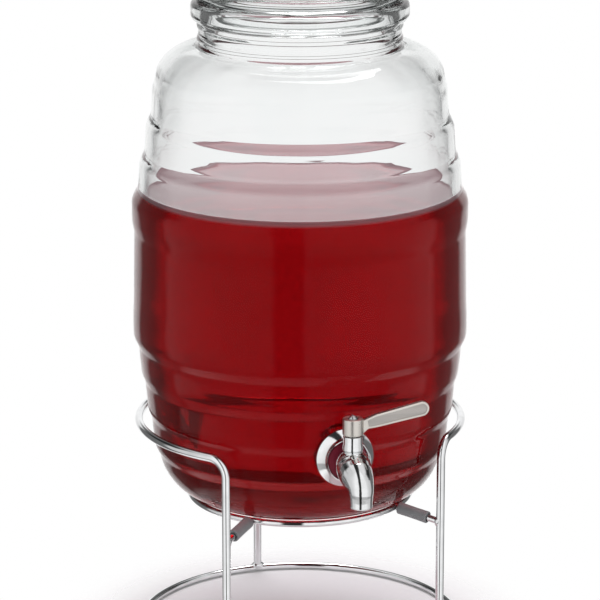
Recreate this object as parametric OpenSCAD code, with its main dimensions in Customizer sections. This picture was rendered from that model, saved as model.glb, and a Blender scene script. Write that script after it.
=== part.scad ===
// Barrel-shaped glass drink jar with a lift-off lid and a plug tap, on a welded wire stand.
// Millimetres, +Z up. The origin is on the table under the jar's axis.
// The tap faces -Y and its closed lever points to +X.

/* [Jar body] */
// Largest outer radius of the jar, at the hoops of the belly
belly_r = 110; // [100:0.5:120]
// Height of the belly with both hoops
belly_h = 95; // [75:1:120]
// Height of each hoop that borders the belly
hoop_h = 15; // [12:0.5:20]
// How far the hoops stand out from the smooth panel between them
hoop_rise = 0.7; // [0.3:0.1:1.5]
// Number of tiers above the belly, and again below it
tier_count = 3; // [2:1:4]
// Height of one tier
tier_h = 24.6; // [20:0.2:30]
// Radius lost from tier to tier above the belly
upper_step = 4.6; // [3:0.1:6]
// Radius lost from tier to tier below the belly
lower_step = 4; // [3:0.1:5]
// Radius that one tier gains or loses along its own height
tier_taper = 1.4; // [0:0.1:2.5]
// Height of the rounded step between two tiers
step_h = 9; // [5:0.5:11]
// Radius of the rounded heel under the lowest tier
heel_r = 34; // [26:0.5:40]
// Thickness of the glass wall
wall = 6; // [4:0.5:8]
// Thickness of the glass floor at the heel
floor_t = 9; // [7:0.5:12]
// Radius of the hollow under the floor
punt_r = 50; // [35:1:55]
// Depth of the hollow under the floor
punt_h = 3; // [1:0.5:4]
// Width of the hollow's sloped edge
punt_edge = 6; // [3:0.5:10]

/* [Jar neck] */
// Height of the shoulder between the top tier and the neck
shoulder_h = 24.6; // [20:0.2:32]
// Radius lost where the shoulder starts
shoulder_step = 2.6; // [1:0.1:5]
// Outer radius of the neck
neck_r = 65.7; // [58:0.1:74]
// Height of the neck below the lip
neck_h = 17; // [14:0.5:26]
// Radius of the hollow corner between shoulder and neck
neck_fillet = 2.5; // [1:0.5:4]
// Height of each of the two thin rings on the neck
ring_h = 4.4; // [3:0.2:5]
// How far the thin rings stand out
ring_rise = 1.2; // [0.4:0.1:2]
// Distance between the thin rings
ring_pitch = 8.6; // [6:0.2:9]
// Thickness of the glass in the neck
neck_wall = 6; // [4:0.5:8]
// How far the rolled lip stands out from the neck
lip_out = 5; // [3:0.2:7]
// Height of the rolled lip
lip_h = 13.6; // [10:0.2:18]
// Rounding of the lip's outer edges
lip_round = 4.4; // [2:0.2:4.8]
// Rounding of the lip's inner edge
mouth_round = 2; // [0.5:0.5:3]

/* [Lid] */
// Radius of the lid's flange
lid_r = 68.6; // [66:0.2:70]
// Thickness of the lid's flange
flange_t = 8; // [6:0.5:12]
// Width of the step on top of the flange
flange_land = 7; // [4:0.5:10]
// Rise of the lid's dome above the flange
dome_h = 15; // [10:0.5:25]
// Thickness of the lid's glass
lid_wall = 6; // [4:0.5:8]
// Depth of the lid's collar in the mouth
collar_h = 11; // [8:0.5:16]
// Thickness of the seal between the collar and the mouth
seal_t = 3.6; // [2:0.2:5]
// Height of the seal
seal_h = 6; // [4:0.5:7]
// Radius of the ball knob
knob_r = 16; // [12:0.5:20]
// Radius of the knob's neck
knob_neck_r = 8.5; // [6:0.5:10]
// Height of the knob's neck between the dome and the ball
knob_neck_h = 5; // [3:0.5:10]

/* [Tap mounting] */
// Height of the tap's axis above the jar's underside
tap_h = 53.6; // [44:0.1:62]
// Radius of the flat glass pad round the tap hole
pad_r = 21; // [18:0.5:24]
// How far the pad stands out from the tier that it is on
pad_rise = 3; // [2:0.5:5]
// Glass between the pad's face and the seat on the inside
pad_t = 12.5; // [9:0.5:15]
// Radius of the threaded shank
shank_r = 7.9; // [7:0.1:8.5]
// Room between the shank and the hole in the glass
hole_gap = 0.7; // [0.4:0.1:1.2]
// Thickness of each sealing gasket
gasket_t = 2.5; // [1.5:0.5:4]
// Outer radius of each sealing gasket
gasket_r = 13.4; // [12.5:0.1:14]
// Thickness of the washer under the nut
washer_t = 1.5; // [1:0.1:2.5]
// Width of the lock nut across its flats
nut_af = 24; // [21:0.5:26]
// Thickness of the lock nut
nut_t = 6; // [4:0.5:9]
// Length of shank that stands out of the lock nut
shank_spare = 2.5; // [1:0.5:6]

/* [Tap body] */
// Radius of the escutcheon at the glass
rosette_r = 18; // [16.5:0.1:19]
// Depth of the escutcheon
rosette_h = 8.2; // [7.2:0.1:10]
// Thickness of the escutcheon's inner web
rosette_web = 1; // [0.8:0.1:1.6]
// Thickness of the escutcheon's front rim
rosette_rim = 1.1; // [0.8:0.1:1.6]
// Radius of the collar that clamps the escutcheon
clamp_r = 12.9; // [11.5:0.1:13.2]
// Thickness of the clamping collar
clamp_t = 3; // [2:0.1:3.5]
// Thickness of the ring that lies in the escutcheon's recess
recess_t = 0.8; // [0.5:0.1:1]
// Distance of the valve's axis from the glass pad
valve_out = 17.5; // [16.5:0.1:22]
// Radius of the round valve chamber
chamber_r = 10.9; // [9.6:0.1:11.2]
// Radius of the tap's upright neck
tower_r = 5.9; // [5.7:0.1:7]
// Height of the tap's upright neck above the tap's axis
tower_h = 19.6; // [18.5:0.1:24]
// Outer radius of the spout
spout_r = 7.1; // [6.5:0.1:8]
// Radius of the passage in the spout
passage_r = 4; // [3.2:0.1:4.3]
// Radius of the spout's outlet
outlet_r = 5.4; // [5:0.1:5.8]
// Bend of the spout along its middle
spout_bend = 13; // [11:0.5:16]
// Distance of the outlet's axis from the valve's axis
spout_reach = 18.5; // [17:0.5:24]
// Length of the straight nozzle below the bend
nozzle_h = 9; // [8:0.5:16]

/* [Valve] */
// Radius of the turning valve plug
plug_r = 4.4; // [4.2:0.05:4.6]
// Depth of the plug below the tap's axis
plug_below = 7.8; // [7.5:0.1:8]
// Height of the plug above the tap's axis
plug_above = 12.6; // [9:0.1:13]
// Radius of the port through the plug
port_r = 3; // [2:0.1:3.2]
// Radius of the O-rings' cord
cord_r = 0.6; // [0.5:0.05:0.7]
// Distance of each O-ring from the tap's axis
cord_off = 5.6; // [4.6:0.1:6]
// Radius of the stem above the plug
stem_r = 2.9; // [2.5:0.05:3.2]
// Wall of the threaded gland that keeps the plug in
gland_wall = 2; // [1.6:0.05:2.1]
// Width of the square drive on the stem
drive_w = 3.9; // [3:0.1:4]
// Length of the square drive
drive_h = 5.6; // [4:0.1:6]

/* [Lever] */
// Radius of the lever's hub
hub_r = 6.6; // [5.8:0.1:7]
// Height of the lever's hub
hub_h = 10.6; // [9:0.1:12]
// Gap between the hub and the tap's neck
hub_gap = 0.8; // [0.3:0.1:1.5]
// Length of the lever from the valve's axis to its tip
lever_l = 50.8; // [40:0.1:70]
// Slope of the lever
lever_rise = 10; // [0:1:18]
// Thickness of the lever's blade
blade_t = 3.4; // [2.5:0.1:5]
// Width of the blade where it leaves the hub
blade_root_w = 7; // [6:0.1:8.5]
// Width of the blade at its round tip
blade_tip_w = 9.4; // [8:0.1:11]
// Distance from the valve's axis where the root's taper ends
root_l = 11; // [9:0.5:14]
// Depth of the panel sunk into each side of the blade
panel_d = 0.6; // [0.3:0.1:0.9]
// Rim left round the sunk panel
panel_rim = 1.7; // [1.2:0.1:2.4]
// Radius of the lever screw's shank
screw_r = 1.5; // [1.2:0.1:1.6]
// Length of the lever screw below its head
screw_l = 9; // [8:0.5:11]
// Radius of the lever screw's domed head
head_r = 3; // [2.6:0.1:3.4]
// Height of the lever screw's domed head
head_h = 2.2; // [1.6:0.1:2.8]
// Width of the slot in the lever screw's head
slot_w = 0.8; // [0.5:0.1:1.2]
// Depth of the slot in the lever screw's head
slot_d = 1.1; // [0.6:0.1:1.3]
// Thickness of the washer under the screw's head
cup_t = 0.8; // [0.5:0.1:1.2]

/* [Stand] */
// Thickness of the wire of the rail and the legs
rail_wire = 5.5; // [4.5:0.1:7]
// Thickness of the wire of the base ring
base_wire = 5; // [4:0.1:7]
// Thickness of the wire of the seat ring
seat_wire = 4.2; // [3.5:0.1:5]
// Thickness of the wire of the struts
strut_wire = 4.5; // [4:0.1:5]
// Radius of the seat ring that carries the jar
seat_r = 73.7; // [68:0.1:80]
// Height of the seat ring's wire above the table
seat_z = 96.5; // [70:0.5:130]
// Height of the rail above the seat ring
rail_h = 50.5; // [44:0.5:58]
// Room between the jar and the rail
rail_gap = 5.5; // [3:0.1:8]
// Radius of the bends from the rail into the front legs
leg_bend = 12; // [9:0.5:20]
// Angle of each front leg from the tap
leg_angle = 42.2; // [32:0.1:58]
// How far the struts drop from the seat ring to the legs
strut_drop = 4.5; // [0:0.1:8]
// Thickness of the soft sleeves on the struts
sleeve_d = 8; // [7:0.1:9]
// Length of each sleeve
sleeve_l = 22; // [16:0.5:24]
// Width of the flat under the base ring
foot_w = 2; // [1:0.1:2.6]
// How far the butt weld stands out from the rail's wire
bead_rise = 0.4; // [0.2:0.1:0.8]

/* [Clearances] */
// Gap under a piece that lifts off
rest_gap = 0.3; // [0.2:0.05:0.5]
// Gap round a piece that turns in a bore
run_gap = 0.05; // [0.03:0.01:0.1]
// Gap between pieces that slip together
slip_gap = 0.2; // [0.1:0.05:0.4]
// Gap at a welded joint of two wires
weld_gap = 0.05; // [0.02:0.01:0.1]

/* [Hidden] */
$fn = 64;

// Colours of the materials
chrome_colour = "silver";
steel_colour = "lightsteelblue";
glass_colour = [0.82, 0.9, 0.92, 0.35];
sleeve_colour = "gray";
rubber_colour = "dimgray";
lever_colour = "darkgray";
ring_colour = "maroon";

// Count of straight pieces in a curved stretch of outline, and the overshoot of cutters
arc_steps = 8;
past = 1;

// Jar: the heel rests on the seat ring's wire, which sets the height of the jar
heel_max_r = belly_r - lower_step * (tier_count + 1);
foot_r = heel_max_r - heel_r;
heel_reach = heel_r + seat_wire / 2 + rest_gap;
jar_z = seat_z - heel_r + sqrt(pow(heel_reach, 2) - pow(seat_r - foot_r, 2));
lower_z = jar_z + heel_r;
belly_z = lower_z + tier_count * tier_h;
upper_z = belly_z + belly_h;
shoulder_z = upper_z + tier_count * tier_h;
neck_z = shoulder_z + shoulder_h;
lip_z = neck_z + neck_h;
rim_z = lip_z + lip_h;
shoulder_r = belly_r - upper_step * tier_count - shoulder_step;
lip_r = neck_r + lip_out;
mouth_r = neck_r - neck_wall;

// Tiers, hoops and panel from the bottom up: [low z, high z, low radius, high radius]
lower_bands = [
    for (k = [0 : tier_count - 1])
        let (z = lower_z + k * tier_h, r = belly_r - lower_step * (tier_count - k))
        [z, z + tier_h, r - tier_taper / 2, r + tier_taper / 2]
];
panel_r = belly_r - hoop_rise;
belly_bands = [
    [belly_z, belly_z + hoop_h, belly_r, belly_r],
    [belly_z + hoop_h, upper_z - hoop_h, panel_r, panel_r],
    [upper_z - hoop_h, upper_z, belly_r, belly_r]
];
upper_bands = [
    for (k = [0 : tier_count - 1])
        let (z = upper_z + k * tier_h, r = belly_r - upper_step * (k + 1))
        [z, z + tier_h, r + tier_taper / 2, r - tier_taper / 2]
];
bands = concat(lower_bands, belly_bands, upper_bands);

// Largest outer radius of the bands within a reach of a height
function widest_r(z, reach) = max([
    for (b = bands)
        if (z + reach >= b[0] && z - reach <= b[1])
            max(b[2], b[3])
]);

// Tap
tap_z = jar_z + tap_h;
pad_y = widest_r(tap_z, 0) + pad_rise;
hole_r = shank_r + hole_gap;
nut_corner_r = nut_af / 2 / cos(30);
washer_r = nut_corner_r + slip_gap;
inner_seat_r = max(washer_r, gasket_r) + past;
clamp_u = gasket_t + rosette_web;
shank_l = pad_t + gasket_t + washer_t + nut_t + shank_spare;
valve_y = pad_y + valve_out;
bore_r = plug_r + run_gap;
groove_in_r = plug_r - 2 * cord_r - run_gap;
gland_r = stem_r + run_gap + gland_wall;
drive_z = tap_z + tower_h + hub_gap;
hub_top_z = drive_z + hub_h;
cup_r = head_r + slip_gap;
cup_floor_z = hub_top_z - cup_t;
nozzle_y = valve_y + spout_reach;
nozzle_z = tap_z - spout_bend - nozzle_h;
blade_z = drive_z + hub_h / 2;
tip_r = blade_tip_w / 2;
tip_x = lever_l - tip_r;

// Stand: the rail clears the jar, and its front ends bend down into the front legs
rail_z = seat_z + rail_h;
rail_r = widest_r(rail_z, rail_wire / 2) + rail_gap + rail_wire / 2;
leg_r = sqrt(pow(rail_r, 2) + pow(leg_bend, 2));
rail_end = leg_angle + atan(leg_bend / rail_r);
base_z = sqrt(pow(base_wire / 2, 2) - pow(foot_w / 2, 2));
leg_z = base_z + base_wire / 4;
strut_rise = atan(strut_drop / (leg_r - seat_r));
strut_l = (leg_r - seat_r) / cos(strut_rise);
sleeve_start = seat_wire / 2 + slip_gap + strut_wire * tan(strut_rise);

// Lid
lid_z = rim_z + rest_gap;
seal_out_r = mouth_r - rest_gap;
seal_in_r = seal_out_r - seal_t;
collar_r = seal_in_r - slip_gap;
knob_z = lid_z + flange_t + dome_h + knob_neck_h + sqrt(pow(knob_r, 2) - pow(knob_neck_r, 2));

// Outline helpers: points along an elliptical arc, and the step up from a to b, where the wider
// side is rounded over and the narrower side meets it in a crease
function arc(cx, cy, rx, ry, from, to) = [
    for (i = [0 : arc_steps])
        let (a = from + (to - from) * i / arc_steps)
        [cx + rx * cos(a), cy + ry * sin(a)]
];
function rounded_step(a, b) = b[0] > a[0]
    ? arc(a[0], b[1], b[0] - a[0], b[1] - a[1], -90, 0)
    : arc(b[0], a[1], a[0] - b[0], b[1] - a[1], 0, 90);
function low_end(b) = [b[2], b[0] + step_h / 2];
function high_end(b) = [b[3], b[1] - step_h / 2];
function neck_ring(z) = [
    for (i = [0 : arc_steps])
        let (t = i / arc_steps)
        [neck_r + ring_rise * sin(180 * t), z + ring_h * (t - 0.5)]
];

// Outside of the jar from the middle of the base to the middle of the mouth
heel_end = acos(step_h / 2 / heel_r);
heel_top = [foot_r + heel_r * sin(heel_end), lower_z - step_h / 2];
shoulder_foot = [shoulder_r, shoulder_z + step_h / 2];
ring_mid_z = neck_z + (neck_fillet + neck_h) / 2;
outer_outline = concat(
    [[0, jar_z + punt_h], [punt_r - punt_edge, jar_z + punt_h], [punt_r, jar_z]],
    arc(foot_r, jar_z + heel_r, heel_r, heel_r, -90, heel_end - 90),
    rounded_step(heel_top, low_end(bands[0])),
    [for (i = [0 : len(bands) - 2]) each rounded_step(high_end(bands[i]), low_end(bands[i + 1]))],
    rounded_step(high_end(bands[len(bands) - 1]), shoulder_foot),
    arc(neck_r + neck_fillet, shoulder_foot[1], shoulder_r - neck_r - neck_fillet,
        neck_z - shoulder_foot[1], 0, 90),
    arc(neck_r + neck_fillet, neck_z + neck_fillet, neck_fillet, neck_fillet, 270, 180),
    neck_ring(ring_mid_z - ring_pitch / 2),
    neck_ring(ring_mid_z + ring_pitch / 2),
    [[neck_r, lip_z]],
    arc(lip_r - lip_round, lip_z + lip_round, lip_round, lip_round, -90, 0),
    arc(lip_r - lip_round, rim_z - lip_round, lip_round, lip_round, 0, 90),
    [[0, rim_z]]
);

// Inside of the jar from the middle of the floor to the mouth; the tiers show only softly here
inner_heel_r = heel_r - floor_t;
inner_outline = concat(
    [[0, jar_z + floor_t]],
    arc(heel_max_r - wall - inner_heel_r, lower_z, inner_heel_r, inner_heel_r, -90, 0),
    [for (b = bands) [(b[2] + b[3]) / 2 - wall, (b[0] + b[1]) / 2]],
    arc(mouth_r, shoulder_z, shoulder_r - wall - mouth_r, shoulder_h - wall, 0, 90),
    arc(mouth_r + mouth_round, rim_z - mouth_round, mouth_round, mouth_round, 180, 90),
    [[mouth_r + mouth_round, rim_z + past], [0, rim_z + past]]
);

// Shared shapes

// Ring of round wire lying flat
module wire_ring(ring_r, wire_r, z) {
    translate([0, 0, z]) rotate_extrude() translate([ring_r, 0]) circle(wire_r);
}

// Quarter bend that starts at [0, 0, bend] along -Y and ends at [0, -bend, 0] along -Z
module quarter_bend(bend, r) {
    rotate([0, 90, 0]) rotate([0, 0, 180]) rotate_extrude(angle = 90) translate([bend, 0]) circle(r);
}

// Places children at a distance out from the glass pad, with their +Z pointing out of the jar
module on_tap(out) {
    translate([0, -pad_y - out, tap_z]) rotate([90, 0, 0]) children();
}

// Places children on the valve's upright axis at a height
module on_valve(z) {
    translate([0, -valve_y, z]) children();
}

// Flat ring
module washer_ring(out_r, in_r, h) {
    difference() {
        cylinder(r = out_r, h = h);
        translate([0, 0, -past]) cylinder(r = in_r, h = h + 2 * past);
    }
}

// Turns children so that their +X points away from the jar's axis, at an angle from the tap
module facing(angle) {
    rotate([0, 0, angle - 90]) children();
}

// Runs children's +Z along a strut, from the seat ring out to the leg
module along_strut(angle) {
    facing(angle) translate([seat_r, 0, seat_z]) rotate([0, 90 + strut_rise, 0]) children();
}

// Stand

// Ring that the stand rests on, flat underneath
module base_ring() {
    color(chrome_colour) difference() {
        wire_ring(leg_r, base_wire / 2, base_z);
        translate([0, 0, -base_wire]) cylinder(r = leg_r + base_wire, h = base_wire);
    }
}

// Shape of the base ring with the gap of a weld round it
module base_ring_cope() {
    wire_ring(leg_r, base_wire / 2 + weld_gap, base_z);
}

// Right half of the rail from the back of the jar to the front, its bend and its front leg
module rail_half() {
    facing(rail_end) {
        translate([0, 0, rail_z])
            rotate_extrude(angle = 180 - rail_end) translate([rail_r, 0]) circle(d = rail_wire);
        translate([rail_r, 0, rail_z - leg_bend]) quarter_bend(leg_bend, rail_wire / 2);
        translate([rail_r, -leg_bend, leg_z]) cylinder(d = rail_wire, h = rail_z - leg_bend - leg_z);
    }
}

// Bead where the two ends of the bent wire meet at the back, grown by a gap
module butt_weld(gap) {
    translate([0, rail_r, rail_z]) rotate([0, 90, 0]) sphere(rail_wire / 2 + bead_rise + gap);
}

// One bent wire: both front legs and the rail between them, with a butt weld at the back
module rail_wire_frame() {
    color(chrome_colour) difference() {
        union() {
            rail_half();
            mirror([1, 0, 0]) rail_half();
            butt_weld(0);
        }
        base_ring_cope();
    }
}

// Upright wire at the back, between the base ring and the rail
module rear_leg() {
    color(chrome_colour) difference() {
        facing(180) translate([leg_r, 0, leg_z])
            cylinder(d = rail_wire, h = rail_z - rail_wire / 4 - leg_z);
        base_ring_cope();
        wire_ring(rail_r, rail_wire / 2 + weld_gap, rail_z);
        butt_weld(weld_gap);
    }
}

// Ring that carries the jar's heel
module seat_ring() {
    color(chrome_colour) wire_ring(seat_r, seat_wire / 2, seat_z);
}

// Wire from a leg to the seat ring
module strut(angle) {
    color(chrome_colour) difference() {
        along_strut(angle) cylinder(d = strut_wire, h = strut_l);
        wire_ring(seat_r, seat_wire / 2 + weld_gap, seat_z);
        translate([0, 0, seat_z]) cylinder(r = seat_r + seat_wire / 4, h = 2 * strut_wire, center = true);
        facing(angle) translate([leg_r, 0, seat_z - strut_drop])
            cylinder(d = rail_wire + 2 * weld_gap, h = 4 * rail_wire, center = true);
        facing(angle) translate([leg_r, -rail_wire, seat_z - strut_drop - 2 * rail_wire])
            cube([rail_wire, 2 * rail_wire, 4 * rail_wire]);
    }
}

// Soft tube pushed over a strut
module sleeve(angle) {
    color(sleeve_colour) along_strut(angle) translate([0, 0, sleeve_start])
        washer_ring(sleeve_d / 2, strut_wire / 2 + slip_gap, sleeve_l);
}

// Jar

// Pressed glass jar with a flat pad and a hole for the tap
module glass_jar() {
    color(glass_colour) difference() {
        union() {
            difference() {
                union() {
                    rotate_extrude($fn = 128) polygon(outer_outline);
                    on_tap(-pad_t) cylinder(r = pad_r, h = pad_t);
                }
                on_tap(0) cylinder(r = pad_r, h = valve_out);
                rotate_extrude($fn = 128) polygon(inner_outline);
            }
            on_tap(-pad_t) cylinder(r = inner_seat_r, h = pad_t);
        }
        on_tap(-pad_t - shank_l) cylinder(r = inner_seat_r, h = shank_l);
        on_tap(-pad_t - past) cylinder(r = hole_r, h = pad_t + 2 * past);
    }
}

// Gasket between the pad and the escutcheon
module outer_gasket() {
    color(rubber_colour) on_tap(0) washer_ring(gasket_r, shank_r + slip_gap, gasket_t);
}

// Gasket between the glass and the backing washer
module inner_gasket() {
    color(rubber_colour) on_tap(-pad_t - gasket_t)
        washer_ring(gasket_r, shank_r + slip_gap, gasket_t);
}

// Washer that spreads the nut's force over the inner gasket
module backing_washer() {
    color(steel_colour) on_tap(-pad_t - gasket_t - washer_t)
        washer_ring(washer_r, shank_r + slip_gap, washer_t);
}

// Hexagonal nut that pulls the tap against the glass
module lock_nut() {
    color(steel_colour) on_tap(-pad_t - gasket_t - washer_t - nut_t) difference() {
        cylinder(r = nut_corner_r, h = nut_t, $fn = 6);
        translate([0, 0, -past]) cylinder(r = shank_r + run_gap, h = nut_t + 2 * past);
    }
}

// Tap

// Conical cover ring round the tap's root, clamped by its inner web
module escutcheon() {
    front_r = clamp_r + slip_gap;
    skirt_r = gasket_r + slip_gap;
    hole = shank_r + slip_gap;
    color(chrome_colour) on_tap(0) rotate_extrude() polygon([
        [rosette_r, slip_gap],
        [front_r + rosette_rim, rosette_h],
        [front_r, rosette_h],
        [front_r, clamp_u],
        [hole, clamp_u],
        [hole, gasket_t],
        [skirt_r, gasket_t],
        [skirt_r, slip_gap]
    ]);
}

// Outside of the spout, or its passage
module spout_run(straight_r, bend_r, end_r, end_past) {
    on_tap(valve_out) cylinder(r1 = straight_r, r2 = bend_r, h = spout_reach - spout_bend);
    translate([0, spout_bend - nozzle_y, tap_z - spout_bend]) quarter_bend(spout_bend, bend_r);
    translate([0, -nozzle_y, nozzle_z - end_past]) cylinder(r = end_r, h = nozzle_h + end_past);
}

// Cast body: shank, clamping collar, valve chamber, upright neck and spout
module tap_body() {
    color(chrome_colour) difference() {
        union() {
            on_tap(-shank_l) cylinder(r = shank_r, h = shank_l + clamp_u);
            on_tap(clamp_u) cylinder(r = clamp_r, h = clamp_t);
            on_tap(clamp_u) cylinder(r = spout_r, h = valve_out - clamp_u);
            on_valve(tap_z) sphere(chamber_r);
            on_valve(tap_z) cylinder(r = tower_r, h = tower_h);
            spout_run(spout_r, spout_r, spout_r, 0);
        }
        on_tap(-shank_l - past) cylinder(r = port_r, h = shank_l + past + valve_out);
        spout_run(port_r, passage_r, outlet_r, past);
        on_valve(tap_z - plug_below - run_gap) cylinder(r = bore_r, h = plug_below + tower_h + past);
        on_valve(tap_z + plug_above + run_gap) cylinder(r = gland_r + run_gap, h = tower_h);
    }
}

// Soft ring round the tap's root, on the clamping collar
module recess_ring() {
    color(ring_colour) on_tap(clamp_u + clamp_t) washer_ring(clamp_r, spout_r + slip_gap, recess_t);
}

// Threaded ring that keeps the plug in the body
module stem_gland() {
    color(steel_colour) on_valve(tap_z + plug_above + 2 * run_gap)
        washer_ring(gland_r, stem_r + run_gap, tower_h - plug_above - 2 * run_gap);
}

// Groove for an O-ring round the plug
module cord_groove(z) {
    on_valve(z - cord_r - run_gap)
        washer_ring(bore_r + past, groove_in_r, 2 * cord_r + 2 * run_gap);
}

// Turning plug with its cross port, stem and square drive
module valve_plug() {
    color(steel_colour) difference() {
        union() {
            on_valve(tap_z - plug_below) cylinder(r = plug_r, h = plug_below + plug_above);
            on_valve(tap_z) cylinder(r = stem_r, h = drive_z - tap_z);
            on_valve(drive_z + drive_h / 2) cube([drive_w, drive_w, drive_h], center = true);
        }
        on_valve(tap_z) rotate([0, 90, 0]) cylinder(r = port_r, h = 4 * plug_r, center = true);
        cord_groove(tap_z + cord_off);
        cord_groove(tap_z - cord_off);
        on_valve(hub_top_z - screw_l - past) cylinder(r = screw_r + run_gap, h = screw_l);
    }
}

// Seal round the plug
module o_ring(z) {
    color(rubber_colour) on_valve(z)
        rotate_extrude() translate([plug_r - cord_r, 0]) circle(cord_r);
}

// Outline of the blade, drawn along +X from the valve's axis, less a margin all round
module blade_outline(from_x, root_w, margin) {
    polygon([
        [from_x, root_w / 2 - margin],
        [from_x, margin - root_w / 2],
        [tip_x, margin - tip_r],
        [tip_x, tip_r - margin]
    ]);
    translate([tip_x, 0]) circle(tip_r - margin);
}

// Lever with its hub, tapered root and sunk panels
module lever_handle() {
    socket_w = drive_w + 2 * run_gap;
    color(lever_colour) difference() {
        union() {
            on_valve(drive_z) cylinder(r = hub_r, h = hub_h);
            on_valve(blade_z) rotate([90, -lever_rise, 0]) linear_extrude(blade_t, center = true) {
                blade_outline(root_l - past, blade_root_w, 0);
                polygon([
                    [0, hub_h / 2 - past], [0, past - hub_h / 2],
                    [root_l, -blade_root_w / 2], [root_l, blade_root_w / 2]
                ]);
            }
        }
        for (side = [-1, 1])
            on_valve(blade_z) rotate([90, -lever_rise, 0])
                translate([0, 0, side * blade_t / 2]) linear_extrude(2 * panel_d, center = true)
                    blade_outline(root_l + panel_rim, blade_root_w, panel_rim);
        on_valve(drive_z + drive_h / 2 - past / 2)
            cube([socket_w, socket_w, drive_h + past + 2 * run_gap], center = true);
        on_valve(drive_z) cylinder(r = screw_r + run_gap, h = hub_h + past);
        on_valve(cup_floor_z) cylinder(r = cup_r + slip_gap, h = hub_h);
    }
}

// Washer sunk in the top of the hub
module lever_washer() {
    color(steel_colour) on_valve(cup_floor_z) washer_ring(cup_r, screw_r + run_gap, cup_t);
}

// Slotted screw with a domed head
module lever_screw() {
    dome_r = (pow(head_r, 2) + pow(head_h, 2)) / 2 / head_h;
    color(steel_colour) difference() {
        union() {
            on_valve(hub_top_z - screw_l) cylinder(r = screw_r, h = screw_l);
            intersection() {
                on_valve(hub_top_z + head_h - dome_r) sphere(dome_r);
                on_valve(hub_top_z) cylinder(r = head_r, h = head_h);
            }
        }
        on_valve(hub_top_z + head_h) cube([2 * head_r, slot_w, 2 * slot_d], center = true);
    }
}

// Lid

// Pressed glass lid with a ball knob and a collar that stands in the mouth
module glass_lid() {
    land_r = lid_r - flange_land;
    dome_z = lid_z + flange_t;
    edge_r = flange_t / 2 - slip_gap;
    color(glass_colour) difference() {
        union() {
            rotate_extrude($fn = 128) polygon(concat(
                [[0, lid_z]],
                arc(lid_r - edge_r, lid_z + edge_r, edge_r, edge_r, -90, 0),
                arc(lid_r - edge_r, dome_z - edge_r, edge_r, edge_r, 0, 90),
                arc(knob_neck_r, dome_z, land_r - knob_neck_r, dome_h, 0, 90),
                [[0, dome_z + dome_h]]
            ));
            translate([0, 0, lid_z - collar_h]) cylinder(r = collar_r, h = collar_h);
            translate([0, 0, dome_z]) cylinder(r = knob_neck_r, h = knob_z - dome_z);
            translate([0, 0, knob_z]) sphere(knob_r);
        }
        rotate_extrude($fn = 128) polygon(concat(
            [[0, lid_z - collar_h - past], [collar_r - lid_wall, lid_z - collar_h - past]],
            arc(0, lid_z, collar_r - lid_wall, flange_t + dome_h - lid_wall, 0, 90)
        ));
    }
}

// Soft ring round the lid's collar
module lid_seal() {
    color(rubber_colour) translate([0, 0, lid_z - slip_gap - seal_h])
        washer_ring(seal_out_r, seal_in_r, seal_h);
}

base_ring();
rail_wire_frame();
rear_leg();
seat_ring();
strut(-leg_angle);  // left_strut
strut(leg_angle);  // right_strut
strut(180);  // rear_strut
sleeve(-leg_angle);  // left_sleeve
sleeve(leg_angle);  // right_sleeve
sleeve(180);  // rear_sleeve
glass_jar();
outer_gasket();
inner_gasket();
backing_washer();
lock_nut();
escutcheon();
tap_body();
recess_ring();
stem_gland();
valve_plug();
o_ring(tap_z + cord_off);  // upper_o_ring
o_ring(tap_z - cord_off);  // lower_o_ring
lever_handle();
lever_washer();
lever_screw();
glass_lid();
lid_seal();
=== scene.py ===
"""Glass beverage dispenser with a plug tap, on a wire stand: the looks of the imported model."""
import math
from itertools import pairwise

import bmesh
import bpy
import numpy as np
from bpy.props import FloatProperty, FloatVectorProperty, IntProperty, PointerProperty
from mathutils import Matrix, Vector, noise
from mathutils.geometry import interpolate_bezier


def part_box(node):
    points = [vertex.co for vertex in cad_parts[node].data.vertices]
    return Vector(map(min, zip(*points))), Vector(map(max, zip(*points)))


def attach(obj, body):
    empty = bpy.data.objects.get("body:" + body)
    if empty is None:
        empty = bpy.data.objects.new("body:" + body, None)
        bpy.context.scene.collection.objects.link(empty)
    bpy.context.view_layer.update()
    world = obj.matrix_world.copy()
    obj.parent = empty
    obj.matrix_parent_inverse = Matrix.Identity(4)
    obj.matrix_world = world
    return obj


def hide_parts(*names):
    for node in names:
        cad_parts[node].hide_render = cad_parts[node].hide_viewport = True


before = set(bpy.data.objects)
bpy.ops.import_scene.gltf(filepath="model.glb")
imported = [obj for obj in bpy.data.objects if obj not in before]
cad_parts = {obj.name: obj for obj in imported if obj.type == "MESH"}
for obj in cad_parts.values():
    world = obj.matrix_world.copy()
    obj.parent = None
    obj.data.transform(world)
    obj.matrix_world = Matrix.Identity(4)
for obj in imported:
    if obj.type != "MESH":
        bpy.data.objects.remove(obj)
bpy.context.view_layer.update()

bl_info = {
    "name": "Glass beverage dispenser",
    "version": (1, 0, 0),
    "blender": (4, 5, 0),
    "location": "View3D > Sidebar > Dispenser",
    "description": "Builds a glass drink jar with a lid and a tap, on a wire stand",
    "category": "Add Mesh",
}

MM = 0.001
SLACK = 0.2 * MM  # gap between pieces that are put together by hand
FIT = 0.05 * MM  # gap between pieces that turn or screw in each other
BEADS = {  # shift outwards, shift upwards and half axes of each weld in millimetres
    "seat": (0, -0.4, (2.3, 4.4, 2.1)),
    "leg": (-1.2, 0, (2.9, 3.1, 4.0)),
    "foot": (0, 1.6, (3.0, 4.8, 3.2)),
    "rail": (-0.4, -1.8, (3.1, 4.6, 3.4)),
}
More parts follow.
